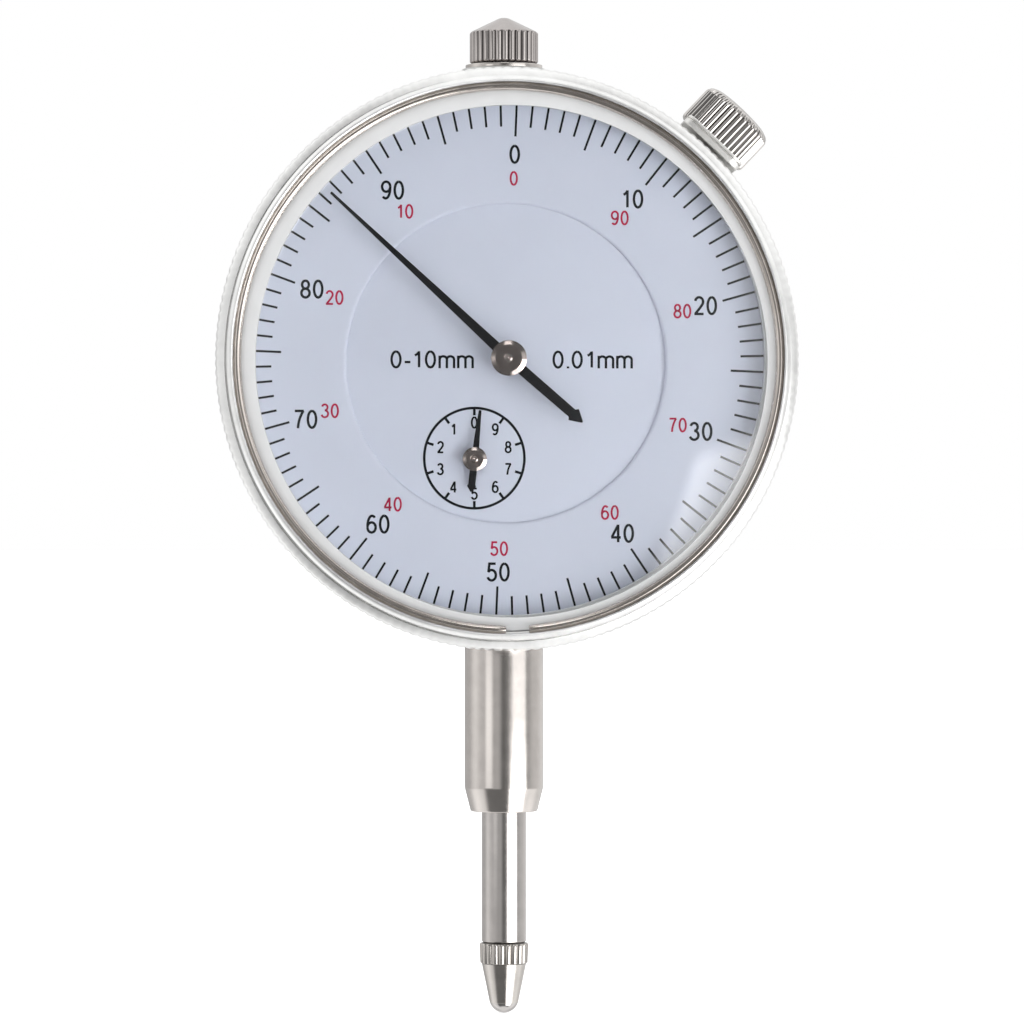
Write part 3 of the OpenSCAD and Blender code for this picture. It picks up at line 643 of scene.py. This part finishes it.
def make_scale_dial():
    """The turning scale, whose inner edge rolls down onto the inner dial, and its print."""
    face_z = front("scale_dial")
    back_z = front("inner_dial") + DIAL_GAP
    outer = radius("scale_dial")
    inner = radius("inner_dial")
    fall = face_z - back_z
    rolled = arc(inner + fall, back_z, fall, fall, 180, 90, 6)
    plate = lathe([(outer, rear("scale_dial")), (outer, face_z)] + rolled[::-1] +
                  [(inner + STEP_LEDGE, back_z), (inner + STEP_LEDGE, rear("scale_dial"))],
                  soft=0, segments=256)
    for v in plate.vertices:
        if v.co.xy.length < (inner + outer) / 2:
            v.co.xy += STEP_SHIFT
    finished("scale_dial_plate", plate, FACE, "bezel", dial_paint, ["scale_dial"])
    black, red = bmesh.new(), bmesh.new()
    for i in range(100):
        turn = TAU * i / 100
        inner_end = TICK_IN_MAJOR if i % 5 == 0 else TICK_IN_MINOR
        add_ribbon(black, [polar(inner_end, turn), polar(TICK_OUT, turn)], LINE, face_z, face_z + INK)
    for i in range(10):
        turn = TAU * i / 10
        place = polar(NUMBER_RING, turn) + Vector(NUMBER_SHIFT.get(i, (0, 0)))
        red_place = polar(RED_RING, turn) + Vector(RED_SHIFT.get(i, (0, 0)))
        add_text(black, str(10 * i), place, NUMBER_H, face_z, face_z + INK, weight=0.138)
        add_text(red, str((100 - 10 * i) % 100), red_place, RED_H, face_z, face_z + INK, weight=0.14)
    finished("scale_print_black", mesh_from(black), FACE, "bezel", black_ink)
    finished("scale_print_red", mesh_from(red), FACE, "bezel", red_ink)


def make_inner_dial():
    """The fixed inner dial, wide enough for the scale's opening, and its print."""
    face_z = front("inner_dial")
    back_z = rear("inner_dial")
    edge = radius("inner_dial") + STEP_SHIFT.length + 0.15
    plate = lathe([(0, back_z), (edge - 0.1, back_z), (edge, back_z + 0.1), (edge, face_z), (0, face_z)],
                  soft=0.02, segments=256)
    finished("inner_dial_plate", plate, FACE, "case", dial_paint, ["inner_dial"])
    ink = bmesh.new()
    top = face_z + INK
    for caption, x in (("0-10mm", -7.58), ("0.01mm", 8.45)):
        add_text(ink, caption, (x, -0.08), CAPTION_H, face_z, top, weight=0.14, wide=1.14)
    centre = COUNTER + Vector((0, 0.1))
    ring = [centre + COUNTER_RING * way(TAU * i / 120) for i in range(120)]
    add_ribbon(ink, ring, COUNTER_LINE, face_z, top, closed=True)
    for i in range(10):
        out = way(math.pi / 2 + TAU * i / 10)
        tick = [centre + COUNTER_RING * out, centre + COUNTER_TICK_IN * out]
        add_ribbon(ink, tick, COUNTER_LINE, face_z, top)
        add_text(ink, str(i), centre + COUNTER_NUMBER_RING * out, COUNTER_NUMBER_H, face_z, top, weight=0.165)
    finished("inner_dial_print", mesh_from(ink), FACE, "case", black_ink)


# ---------- hands ----------

HAND_T = 0.16


def make_hand(name, node, pivot, body, outline, boss_r, bend=0.0):
    """A flat hand with rounded edges. The outline is its right half, from the tip to the tail.

    A positive height is a share of the hand's length. The bend sets the tail askew, by a share of its
    length.
    """
    angle, length = hand_angle(node, pivot)
    bm = bmesh.new()
    right = [(w, y * length if y > 0 else y) for w, y in outline]
    left = [(-w, y) for w, y in reversed(right) if w > 0]
    add_prism(bm, [(x + bend * max(0, -y), y) for x, y in right + left], 0, HAND_T)
    bevelled(bm, 0.05, segments=2)
    blade = mesh_from(bm)
    low_face, high_face = 0.005, HAND_T - 0.005
    boss = lathe([(0, low_face), (boss_r, low_face), (boss_r, high_face), (0, high_face)],
                 soft=0.04, segments=64)
    mesh = joined([blade, boss])
    turn = Matrix.Rotation(angle, 4, "Z")
    mesh.transform(Matrix.Translation((pivot.x, pivot.y, rear(node))) @ turn)
    finished(name, mesh, FACE, body, hand_paint, [node])


def make_hub(name, node, centre, body, material, face_r):
    """A turned hub: chamfered bright rim, flat face, and the arbor's end with a centre mark."""
    r = radius(node)
    top = front(node)
    fall = 0.42 * (r - face_r)
    nose = 0.3
    sleeve = 0.9
    rim_low = top - fall - 0.4
    profile = [
        (0, rear(node)), (sleeve, rear(node)), (sleeve, rim_low), (r, rim_low), (r, top - fall),
        (face_r, top), (nose + 0.13, top), (nose + 0.06, top - 0.08), (nose, top + 0.04),
        (nose - 0.09, top + 0.07), (0.11, top + 0.07), (0, top - 0.05),
    ]
    mesh = lathe(profile, soft=0.02, segments=96, centre=centre)
    finished(name, mesh, FACE, body, material, [node], sharp=15)


def make_hands():
    centre = Vector((0, 0))
    make_hand("long_hand", "long_hand_blade", centre, "centre_shaft",
              [(0.13, 1), (0.53, 0), (0.49, -8.35), (0.76, -8.55), (0.08, -9.72)], boss_r=1.45, bend=0.036)
    make_hand("counter_hand", "counter_hand_blade", COUNTER, "counter_shaft",
              [(0.14, 1), (0.37, 0), (0.36, -2.55), (0.45, -2.72), (0.06, -3.28)], boss_r=0.95)
    make_hub("long_hand_boss", "long_hand_hub", centre, "centre_shaft", hub_metal, face_r=1.33)
    make_hub("counter_hand_boss", "counter_hand_hub", COUNTER, "counter_shaft", counter_hub_metal,
             face_r=0.86)


# ---------- bezel ----------

LOBES = 190
LOBE_DEPTH = 0.1
GRIP_H = 4.0
SHOULDER_R = 28.24      # a groove parts the shoulder from the front rim
RIM_R = 27.98
MOUTH_R = 27.36
WIRE_GROOVE_R = 27.5
CRYSTAL_BORE = 27.2
SEAT_R = 25.52
SCALE_BORE = 26.45


def make_bezel():
    """Turned ring with a scalloped grip band behind, a sloping shoulder and a raised front rim.

    Inside, from the front, are the wire's groove, the crystal's seat and the bores for scale and case.
    """
    z0 = rear("bezel_ring")
    z1 = front("bezel_ring")
    r = radius("bezel_ring")
    bore = radius("case_body") + 0.1
    band = z0 + GRIP_H
    wire = front("crystal_retaining_ring") + 0.1
    seat = rear("crystal")
    scale = front("scale_dial") + 0.02
    case = front("case_body") + 0.15
    profile = [
        (bore, z0), (r - 0.55, z0, 0), (r - 0.05, z0 + 0.35, 1), (r, z0 + 0.6, 1), (r, band - 0.35, 1),
        (r - 0.22, band, 0.35), (SHOULDER_R, band + 0.55), (SHOULDER_R - 0.04, band + 0.1),
        (RIM_R, band + 0.1), (RIM_R + 0.02, band + 1.0), (RIM_R + 0.04, z1 - 0.5), (RIM_R - 0.18, z1 - 0.2),
        (RIM_R - 0.44, z1), (RIM_R - 0.56, z1 - 0.1), (MOUTH_R, z1 - 0.3), (MOUTH_R, wire),
        (WIRE_GROOVE_R, wire - 0.05), (WIRE_GROOVE_R, wire - 0.95), (CRYSTAL_BORE, wire - 1.0),
        (CRYSTAL_BORE, seat), (SEAT_R, seat), (SEAT_R, scale), (SCALE_BORE, scale), (SCALE_BORE, case),
        (bore, case),
    ]
    mesh = lathe(profile, soft=0.06, segments=LOBES * 5, lobes=LOBES, depth=LOBE_DEPTH)
    finished("bezel", mesh, FACE, "bezel", bezel_metal, ["bezel_ring"], sharp=35)


def make_crystal():
    """Domed crystal on a moulded flange. Its rim is milky, and the rest is clear."""
    z0 = rear("crystal")
    crown = front("crystal")
    flange = z0 + 1.0
    outer_r = radius("crystal")
    rim_r = 25.42                        # edge of the clear window
    rise = 1.45                          # how far the window domes
    dome_t = 0.9
    shift = Vector((0.31, -0.33))        # the window sits a little askew in its flange
    steps = 24

    def top(r):
        return crown - rise * (0.4 * (r / rim_r) ** 2 + 0.6 * (r / rim_r) ** 4)

    radii = [rim_r * i / steps for i in range(steps + 1)]
    bm = bmesh.new()
    dome = [(r, top(r)) for r in reversed(radii)] + [(r, top(r) - dome_t) for r in radii]
    add_lathe(bm, dome, segments=256)
    edge = top(rim_r)
    rim = [
        (rim_r + 0.005, z0), (outer_r, z0), (outer_r, flange), (rim_r + 1.05, flange),
        (rim_r + 0.95, edge - 0.14), (rim_r + 0.005, edge),
    ]
    add_lathe(bm, softened(rim, 0.1), segments=256, material=1)
    for v in bm.verts:
        share = min(1, max(0, (outer_r - v.co.xy.length) / (outer_r - rim_r)))
        v.co.xy += share * shift
    obj = finished("crystal_dome", mesh_from(bm), FACE, "bezel", [crystal_clear, crystal_rim], ["crystal"],
                   sharp=25)
    obj.visible_shadow = False


def make_wire_ring():
    """Split spring wire that holds the crystal down."""
    z = -middle("crystal_retaining_ring").y
    ring_r = 27.0
    wire_r = (front("crystal_retaining_ring") - rear("crystal_retaining_ring")) / 2
    gap = math.radians(4.9)
    start = math.radians(271.8) + gap / 2        # the gap is at the bottom
    steps = 300
    turns = [start + (TAU - gap) * i / steps for i in range(steps + 1)]
    bm = bmesh.new()
    add_tube(bm, [(*(ring_r * way(a)), z) for a in turns], wire_r)
    finished("crystal_wire", mesh_from(bm), FACE, "bezel", wire_metal, ["crystal_retaining_ring"])


# ---------- case ----------

def make_case():
    """Turned cup with its stem, top and clamp bosses, each blended with a small fillet."""
    z0 = rear("case_body")
    z1 = front("case_body")
    r = radius("back_cover")
    wall, floor = 1.5, 1.2
    groove, groove_rear, groove_front = 0.4, 5.85, 6.75      # for the bezel's retaining wire
    cup = lathe([
        (r - wall, z0), (r - 0.1, z0), (r, z0 + 0.1), (r, groove_rear), (r - groove, groove_rear),
        (r - groove, groove_front), (r, groove_front), (r, z1 - 0.3), (r - 0.3, z1), (0, z1),
        (0, z1 - floor), (r - wall, z1 - floor),
    ], soft=0.1, segments=256)
    root = 22.6                                              # inside the wall, out of sight
    stem_r, stem_bore, stem_low = 5.0, 4.0, level(low("case_body").z) + 0.4
    stem_boss = lathe([(stem_bore, -root), (stem_bore, stem_low), (stem_r - 0.25, stem_low),
                       (stem_r, stem_low + 0.25), (stem_r, -27.4), (stem_r + 0.35, -26.6),
                       (stem_r + 0.2, -root)], soft=0.12, segments=96)
    top_r, top_bore, top_high = 4.4, 3.0, level(high("top_bush").z) - 0.4
    top_boss = lathe([(top_bore, root), (top_r, root), (top_r + 0.35, 26.5), (top_r, 27.3),
                      (top_r, top_high - 0.2), (top_r - 0.2, top_high), (top_bore, top_high)],
                     soft=0.12, segments=96)
    clamp_r, clamp_bore, clamp_high = 4.2, 1.5, 29.1
    clamp_boss = lathe([(clamp_bore, root + 1.6), (clamp_r, root + 1.6), (clamp_r + 0.3, 26.5),
                        (clamp_r, 27.3), (clamp_r, clamp_high - 0.2), (clamp_r - 0.2, clamp_high),
                        (clamp_bore, clamp_high)], soft=0.12, segments=96)
    turn_back = FACE.inverted()
    for boss, place in ((stem_boss, UPRIGHT), (top_boss, UPRIGHT), (clamp_boss, CLAMP)):
        boss.transform(turn_back @ place)
    finished("case_shell", joined([cup, stem_boss, top_boss, clamp_boss]), FACE, "case", case_metal,
             ["case_body"], sharp=35)


def make_back():
    """Back cover, lug, and the slotted screws that hold both."""
    z0 = rear("back_cover")
    z1 = front("back_cover")
    r = radius("back_cover")
    line_r = r - 2.4                     # a turned line runs round the cover
    cover = lathe([(0, z0), (8.0, z0), (line_r - 0.2, z0), (line_r, z0 + 0.12), (line_r + 0.2, z0),
                   (r - 0.55, z0), (r, z0 + 0.5), (r, z1 - 0.02), (0, z1 - 0.02)], soft=0.1, segments=256)
    finished("back_plate", cover, FACE, "case", back_metal, ["back_cover"], sharp=35)

    base_z = rear("lug_screws")
    hole = mount("lug")
    hole_z = -hole["pos_m"][1] / MM
    hole_r = hole["dims"]["r_mm"]
    half = hole["dims"]["length_mm"] / 2
    lug_r = high("lug").y + hole_z
    base_r = 9.5
    base = lathe([(0, base_z), (base_r - 0.4, base_z), (base_r, base_z + 0.4), (base_r, z0), (0, z0)],
                 soft=0.1, segments=128)
    foot = z0 - 1.2
    outline = arc(0, hole_z, lug_r, lug_r, 360, 180, 48) + [(-lug_r, foot), (lug_r, foot)]
    bm = bmesh.new()
    add_prism(bm, outline, -half, half)
    bevelled(bm, 0.4, angle=60, segments=4)
    eye = lathe([(0, -half - 1), (hole_r + 0.3, -half - 1), (hole_r + 0.3, -half), (hole_r, -half + 0.3),
                 (hole_r, half - 0.3), (hole_r + 0.3, half), (hole_r + 0.3, half + 1), (0, half + 1)],
                soft=0, segments=96, centre=(0, hole_z))
    blade = cut(mesh_from(bm), eye)
    # the blade is drawn with its hole along z: x becomes up, y becomes depth, z becomes right
    blade.transform(Matrix(((0, 0, 1, 0), (1, 0, 0, 0), (0, 1, 0, 0), (0, 0, 0, 1))))
    finished("lug_back", joined([base, blade]), FACE, "case", lug_metal, ["lug"], sharp=35)

    flip = Matrix.Rotation(math.pi, 4, "X")
    for name, node, head_r, ring_r, angles, z in (
        ("cover_screws", "back_cover_screws", 1.7, 23.4, [15 + 90 * k for k in range(4)], z0),
        ("lug_base_screws", "lug_screws", 1.6, 7.0, [37, 143, 217, 323], base_z),
    ):
        heads = []
        for k, a in enumerate(angles):
            place = Vector((*(ring_r * way(-math.radians(a))), -z + 0.02))
            head = slotted(head_r, place, 0.9 + 1.3 * k)
            head.transform(flip)
            heads.append(head)
        finished(name, joined(heads), FACE, "case", screw_metal, [node], sharp=35)


# ---------- stem and plunger ----------

GUIDE_BORE = 2.28       # round the plunger
SLEEVE_BORE = 2.9


def make_stem():
    """Sleeve with a chamfered end, and the guides at the stem's mouth and on top of the case."""
    top = level(high("stem_sleeve").z)
    end = level(low("stem_sleeve").z)
    r = radius("stem_sleeve")
    grip_end = end + 2.3
    profile = [(SLEEVE_BORE, end), (3.3, end), (3.4, end + 0.08), (r - 0.06, grip_end - 0.1),
               (r, grip_end + 0.15), (r, top), (SLEEVE_BORE, top)]
    finished("stem", lathe(profile, soft=0.1, segments=192), UPRIGHT, "case", stem_metal, ["stem_sleeve"],
             sharp=50)
    flange = radius("top_bush")
    z1 = level(high("top_bush").z)
    bush = lathe([(GUIDE_BORE, z1 - 8), (3.0, z1 - 8), (3.0, z1 - 0.4), (flange, z1 - 0.4), (flange, z1),
                  (GUIDE_BORE, z1)], soft=0.06, segments=128)
    finished("top_guide", bush, UPRIGHT, "case", stem_metal, ["top_bush"])
    z0 = level(low("stem_lower_bush").z)
    guide = lathe([(GUIDE_BORE, z0 + 0.02), (2.5, z0 - 0.02), (SLEEVE_BORE, z0 - 0.02),
                   (SLEEVE_BORE, z0 + 7), (GUIDE_BORE, z0 + 7)], soft=0.05, segments=96)
    finished("stem_guide", guide, UPRIGHT, "case", brass_metal, ["stem_lower_bush"])


SPINDLE_R = 1.5         # the rod's upper end, in the cap
RACK_PITCH = 0.625
RACK_LOW, RACK_HIGH = -22.9, -7.6
RACK_TEETH = range(-20, 3)      # counted from the pinion
RACK_FLOOR, RACK_CREST = -1.5, -1.92
TIP_FLUTES = 20
CAP_FLUTES = 30


def make_plunger():
    """Ground rod with its rack, cut along its left side."""
    end = level(low("plunger_rod").z)
    top = level(high("plunger_rod").z)
    r = radius("plunger_rod")
    neck = level(low("lifting_cap").z)
    rod = lathe([(0, end + 0.1), (r - 0.12, end), (r, end + 0.12), (r, neck), (SPINDLE_R, neck),
                 (SPINDLE_R, top), (0, top)], soft=0.05, segments=128)
    outside = -3
    flank = [(outside, RACK_LOW), (RACK_FLOOR, RACK_LOW)]
    for k in RACK_TEETH:
        tooth = COUNTER.y + (k + 0.5) * RACK_PITCH
        flank += [(RACK_FLOOR, tooth - 0.24), (RACK_CREST, tooth - 0.08), (RACK_CREST, tooth + 0.08),
                  (RACK_FLOOR, tooth + 0.24)]
    flank += [(RACK_FLOOR, RACK_HIGH), (outside, RACK_HIGH)]
    bm = bmesh.new()
    add_prism(bm, flank, -4, 4)
    rack = mesh_from(bm)
    rack.transform(Matrix.Rotation(math.radians(90), 4, "X"))
    finished("plunger", cut(rod, rack), UPRIGHT, "plunger", plunger_metal, ["plunger_rod"],
             sharp=35)


def make_contact():
    """Contact point with a fluted collar and a cone, and the ball in its end."""
    r = radius("contact_ball")
    tip = level(low("contact_ball").z)
    collar = level(low("plunger_rod").z)
    low_collar = collar - 2.15
    holder = [
        (0, tip + 1.0), (1.30, tip + 0.95), (1.44, tip + 1.05), (2.26, low_collar + 0.02, 0),
        (2.42, low_collar + 0.06, 1), (2.5, collar - 0.24, 1), (2.42, collar - 0.1, 0.6),
        (2.18, collar - 0.08), (2.18, collar - 0.02), (0, collar - 0.02),
    ]
    mesh = lathe(holder, soft=0.05, segments=TIP_FLUTES * 12, lobes=TIP_FLUTES, depth=0.2, sharpness=0.7)
    finished("contact_holder", mesh, UPRIGHT, "plunger", tip_metal, ["contact_point"],
             sharp=35)
    ball = [(0, tip)] + arc(0, tip + r, r, r, -90, 90, 32)[1:-1] + [(0, tip + 2 * r)]
    finished("contact_sphere", lathe(ball, soft=0, segments=64), UPRIGHT, "plunger", ball_metal,
             ["contact_ball"])


def make_cap():
    """Knurled lifting cap with a flat cone on top."""
    z0 = level(low("lifting_cap").z)
    r = CAP_R
    top = level(high("lifting_cap").z)
    roof = z0 + 2.8
    profile = [
        (SPINDLE_R, z0), (r - 0.35, z0, 0), (r, z0 + 0.3, 1), (r, CAP_DRUM - 0.2, 1),
        (r - 0.2, CAP_DRUM - 0.02, 0), (0.55, top - 0.08), (0.25, top), (0, top), (0, roof),
        (SPINDLE_R, roof),
    ]
    mesh = lathe(profile, soft=0.06, segments=CAP_FLUTES * 12, lobes=CAP_FLUTES, depth=0.2, sharpness=0.7)
    finished("plunger_cap", mesh, UPRIGHT, "plunger", cap_metal, ["lifting_cap"],
             sharp=35)


# ---------- bezel clamp ----------

FLUTES = 40
SHANK_R = 1.45
EYE_R = 1.6


def make_clamp_screw():
    """Fluted knob and its shank."""
    z0, z1 = KNOB_LOW, KNOB_HIGH
    r = KNOB_R
    profile = [
        (0, z0), (r - 0.5, z0, 0), (r - 0.15, z0 + 0.12, 0.3), (r, z0 + 0.4, 1), (r, z1 - 0.75, 1),
        (r - 0.28, z1 - 0.25, 0.5), (r - 0.85, z1, 0), (0, z1),
    ]
    knob = lathe(profile, soft=0.15, segments=FLUTES * 12, lobes=FLUTES, depth=0.28, sharpness=0.8)
    finished("clamp_knob_head", knob, CLAMP, "clamp_screw", knob_metal, ["clamp_knob"],
             sharp=35)
    end = reach_along_clamp("clamp_screw")[0]
    shank = lathe([(0, end), (SHANK_R - 0.15, end), (SHANK_R, end + 0.2), (SHANK_R, z0 + 0.1), (0, z0 + 0.1)],
                  soft=0.05, segments=64)
    finished("clamp_shank", shank, CLAMP, "clamp_screw", screw_metal, ["clamp_screw"])


def make_clamp_shoe():
    """Plate with rounded corners and a groove round its edge, on the clamp's shank."""
    half = 3.6
    corner = 1.2
    reach, tail = low("clamp_shoe").y, high("clamp_shoe").y
    under, over = reach_along_clamp("clamp_shoe")
    layers = [(under, 0.1), (under + 0.1, 0), (over - 0.46, 0), (over - 0.4, 0.2), (over - 0.32, 0.2),
              (over - 0.26, 0), (over - 0.08, 0), (over, 0.08)]
    outlines = []
    for height, inset in layers:
        outline = []
        for x, y, start in ((half, tail, 0), (-half, tail, 90), (-half, reach, 180), (half, reach, 270)):
            centre = (x - math.copysign(corner, x), y - math.copysign(corner, y))
            outline += arc(*centre, corner - inset, corner - inset, start, start + 90, 8)
        outlines.append([(x, y, height) for x, y in outline])
    bm = bmesh.new()
    add_stack(bm, outlines)
    eye = lathe([(0, under - 1), (EYE_R, under - 1), (EYE_R, over + 1), (0, over + 1)], soft=0, segments=64)
    finished("clamp_plate", cut(mesh_from(bm), eye), CLAMP, "clamp_shoe", shoe_metal, ["clamp_shoe"])


# ---------- movement, kept as the CAD made it ----------

def dress_movement():
    dressed = {
        brass_metal: ["stem_upper_bush", "movement_bridge", "bridge_pillars", "front_bushes", "rear_bushes",
                      "pinion_cock", "guide_rail", "main_gear", "takeup_gear"],
        movement_metal: ["rack_pinion", "centre_pinion", "takeup_arbor", "hairspring", "hairspring_stud",
                         "spring_post", "return_spring", "bezel_retaining_wire"],
        screw_metal: ["bridge_screws", "pinion_cock_screws", "guide_rail_screws", "guide_pin"],
    }
    for material, nodes in dressed.items():
        for name in nodes:
            obj = frame["nodes"][name]
            if not obj.material_slots:
                obj.data.materials.append(material)
            for s in obj.material_slots:
                s.material = material


# ---------- studio ----------

CAMERA_AZIMUTH = math.radians(-2.5)
CAMERA_DISTANCE = 509.0
CAMERA_AIM = Vector((0.82, 0, 21.1))
CAMERA_LENS = 176.0


def make_camera():
    data = bpy.data.cameras.new("camera")
    data.lens = CAMERA_LENS
    data.sensor_width = 36.0
    data.clip_start = 0.01
    camera = linked("camera", data)
    aim = CAMERA_AIM * MM
    away = Vector((math.sin(CAMERA_AZIMUTH), -math.cos(CAMERA_AZIMUTH), 0))
    camera.location = aim + away * CAMERA_DISTANCE * MM
    camera.rotation_euler = (aim - camera.location).to_track_quat("-Z", "Y").to_euler()
    bpy.context.scene.camera = camera


def make_area(name, place, aim, size, power, mirrored=True):
    """A soft panel, out of sight. One that isn't mirrored doesn't show in the crystal either."""
    data = bpy.data.lights.new(name, "AREA")
    data.shape = "RECTANGLE"
    data.size, data.size_y = size
    data.energy = power
    light = linked(name, data)
    light.location = place
    light.rotation_euler = (Vector(aim) - Vector(place)).to_track_quat("-Z", "Y").to_euler()
    light.visible_camera = False
    light.visible_glossy = False
    light.visible_transmission = mirrored


# Brightness of the studio at azimuths round the object, in degrees to the right of the viewer:
# level with it, and at a slant above and below it
WALLS = [
    (-180, 0.50), (-125, 0.60), (-95, 1.00), (-70, 0.72), (-45, 0.46), (-20, 0.60), (-4, 0.16), (8, 0.26),
    (19, 0.66), (26, 1.50), (60, 1.50), (68, 0.45), (95, 0.74), (140, 0.90), (180, 0.50),
]
SLANTS = [
    (-180, 0.95), (-140, 0.80), (-105, 1.30), (-74, 1.00), (-56, 0.20), (56, 0.20), (70, 1.20), (105, 1.30),
    (140, 0.80), (180, 0.95),
]
POLES = 1.15

# Soft panels: middle and half width in azimuth, the same in elevation, edge softness, brightness
PANELS = [
    (41, 25.3, -29.5, 24.6, 1.2, 3.6),
    (0, 14, 47, 8, 4, 3.2),
    (-47, 10, 0, 7, 5, 1.0),
]


def make_world():
    """White to the eye; to reflections, a room with soft panels round it."""
    world = bpy.data.worlds.new("studio")
    bpy.context.scene.world = world
    world.use_nodes = True
    world.node_tree.nodes.clear()
    g = Graph(world.node_tree)
    x, y, z = g.split(g.node("ShaderNodeTexCoord").outputs["Generated"])
    degrees = 180 / math.pi
    azimuth = g.math("MULTIPLY", g.math("ARCTAN2", x, g.math("MULTIPLY", y, -1)), degrees)
    elevation = g.math("MULTIPLY", g.math("ARCSINE", z), degrees)

    turn = g.span(azimuth, 0, 1, -180, 180)
    steep = g.math("ABSOLUTE", elevation)
    total, slants = (g.ramp(turn, [((a + 180) / 360, v) for a, v in table], "EASE")
                     for table in (WALLS, SLANTS))
    for brightness, start, end in ((slants, 11, 24), (POLES, 55, 72)):
        share = g.span(steep, 0, 1, start, end, "SMOOTHSTEP")
        kept = g.math("MULTIPLY", total, g.math("SUBTRACT", 1.0, share))
        total = g.math("ADD", kept, g.math("MULTIPLY", share, brightness))
    for middle_a, half_a, middle_e, half_e, soft, brightness in PANELS:
        across = g.math("ABSOLUTE", g.math("SUBTRACT", azimuth, middle_a))
        along = g.math("ABSOLUTE", g.math("SUBTRACT", elevation, middle_e))
        lit = g.math("MULTIPLY", g.span(across, 1, 0, half_a - soft, half_a + soft, "SMOOTHSTEP"),
                     g.span(along, 1, 0, half_e - soft, half_e + soft, "SMOOTHSTEP"))
        total = g.math("ADD", total, g.math("MULTIPLY", lit, brightness))

    room = g.node("ShaderNodeBackground", {"Color": (1, 1, 1, 1), "Strength": total})
    white = g.node("ShaderNodeBackground", {"Color": (1, 1, 1, 1)})
    seen = g.node("ShaderNodeLightPath").outputs["Is Camera Ray"]
    choice = g.node("ShaderNodeMixShader", {0: seen, 1: room.outputs[0], 2: white.outputs[0]})
    g.node("ShaderNodeOutputWorld", {"Surface": choice.outputs[0]})


def make_floor():
    """A broad pale disc, level with the contact point."""
    n = Nodes("floor_paint", (0.9, 0.9, 0.9), roughness=0.9)
    haze = n.noise(n.position(), 2.0, detail=2.0)
    n.color(n.ramp(haze, [(0.3, 0.88), (0.7, 0.92)]))
    n.shader.inputs["Emission Color"].default_value = (1, 1, 1, 1)
    n.shader.inputs["Emission Strength"].default_value = 0.6
    bm = bmesh.new()
    bmesh.ops.create_circle(bm, cap_ends=True, segments=96, radius=6.0)
    mesh = mesh_from(bm)
    mesh.transform(Matrix.Translation((0, 0, cad_box[0][2])))
    mesh.materials.append(n.material)
    floor = linked("floor", mesh)
    floor.visible_glossy = False
    floor.visible_transmission = False


def make_lights():
    dial = (0, 0, DIAL_Z * MM)
    make_area("key", (0.70, -0.65, -0.25), dial, (0.5, 0.5), 10.2)
    make_area("fill", (-0.25, -0.90, 0.35), dial, (0.9, 0.9), 5.0, mirrored=False)


make_camera()
make_scale_dial()
make_inner_dial()
make_hands()
make_bezel()
make_crystal()
make_wire_ring()
make_case()
make_back()
make_stem()
make_plunger()
make_contact()
make_cap()
make_clamp_screw()
make_clamp_shoe()
dress_movement()
make_world()
make_floor()
make_lights()
bpy.context.scene.view_settings.view_transform = "Standard"
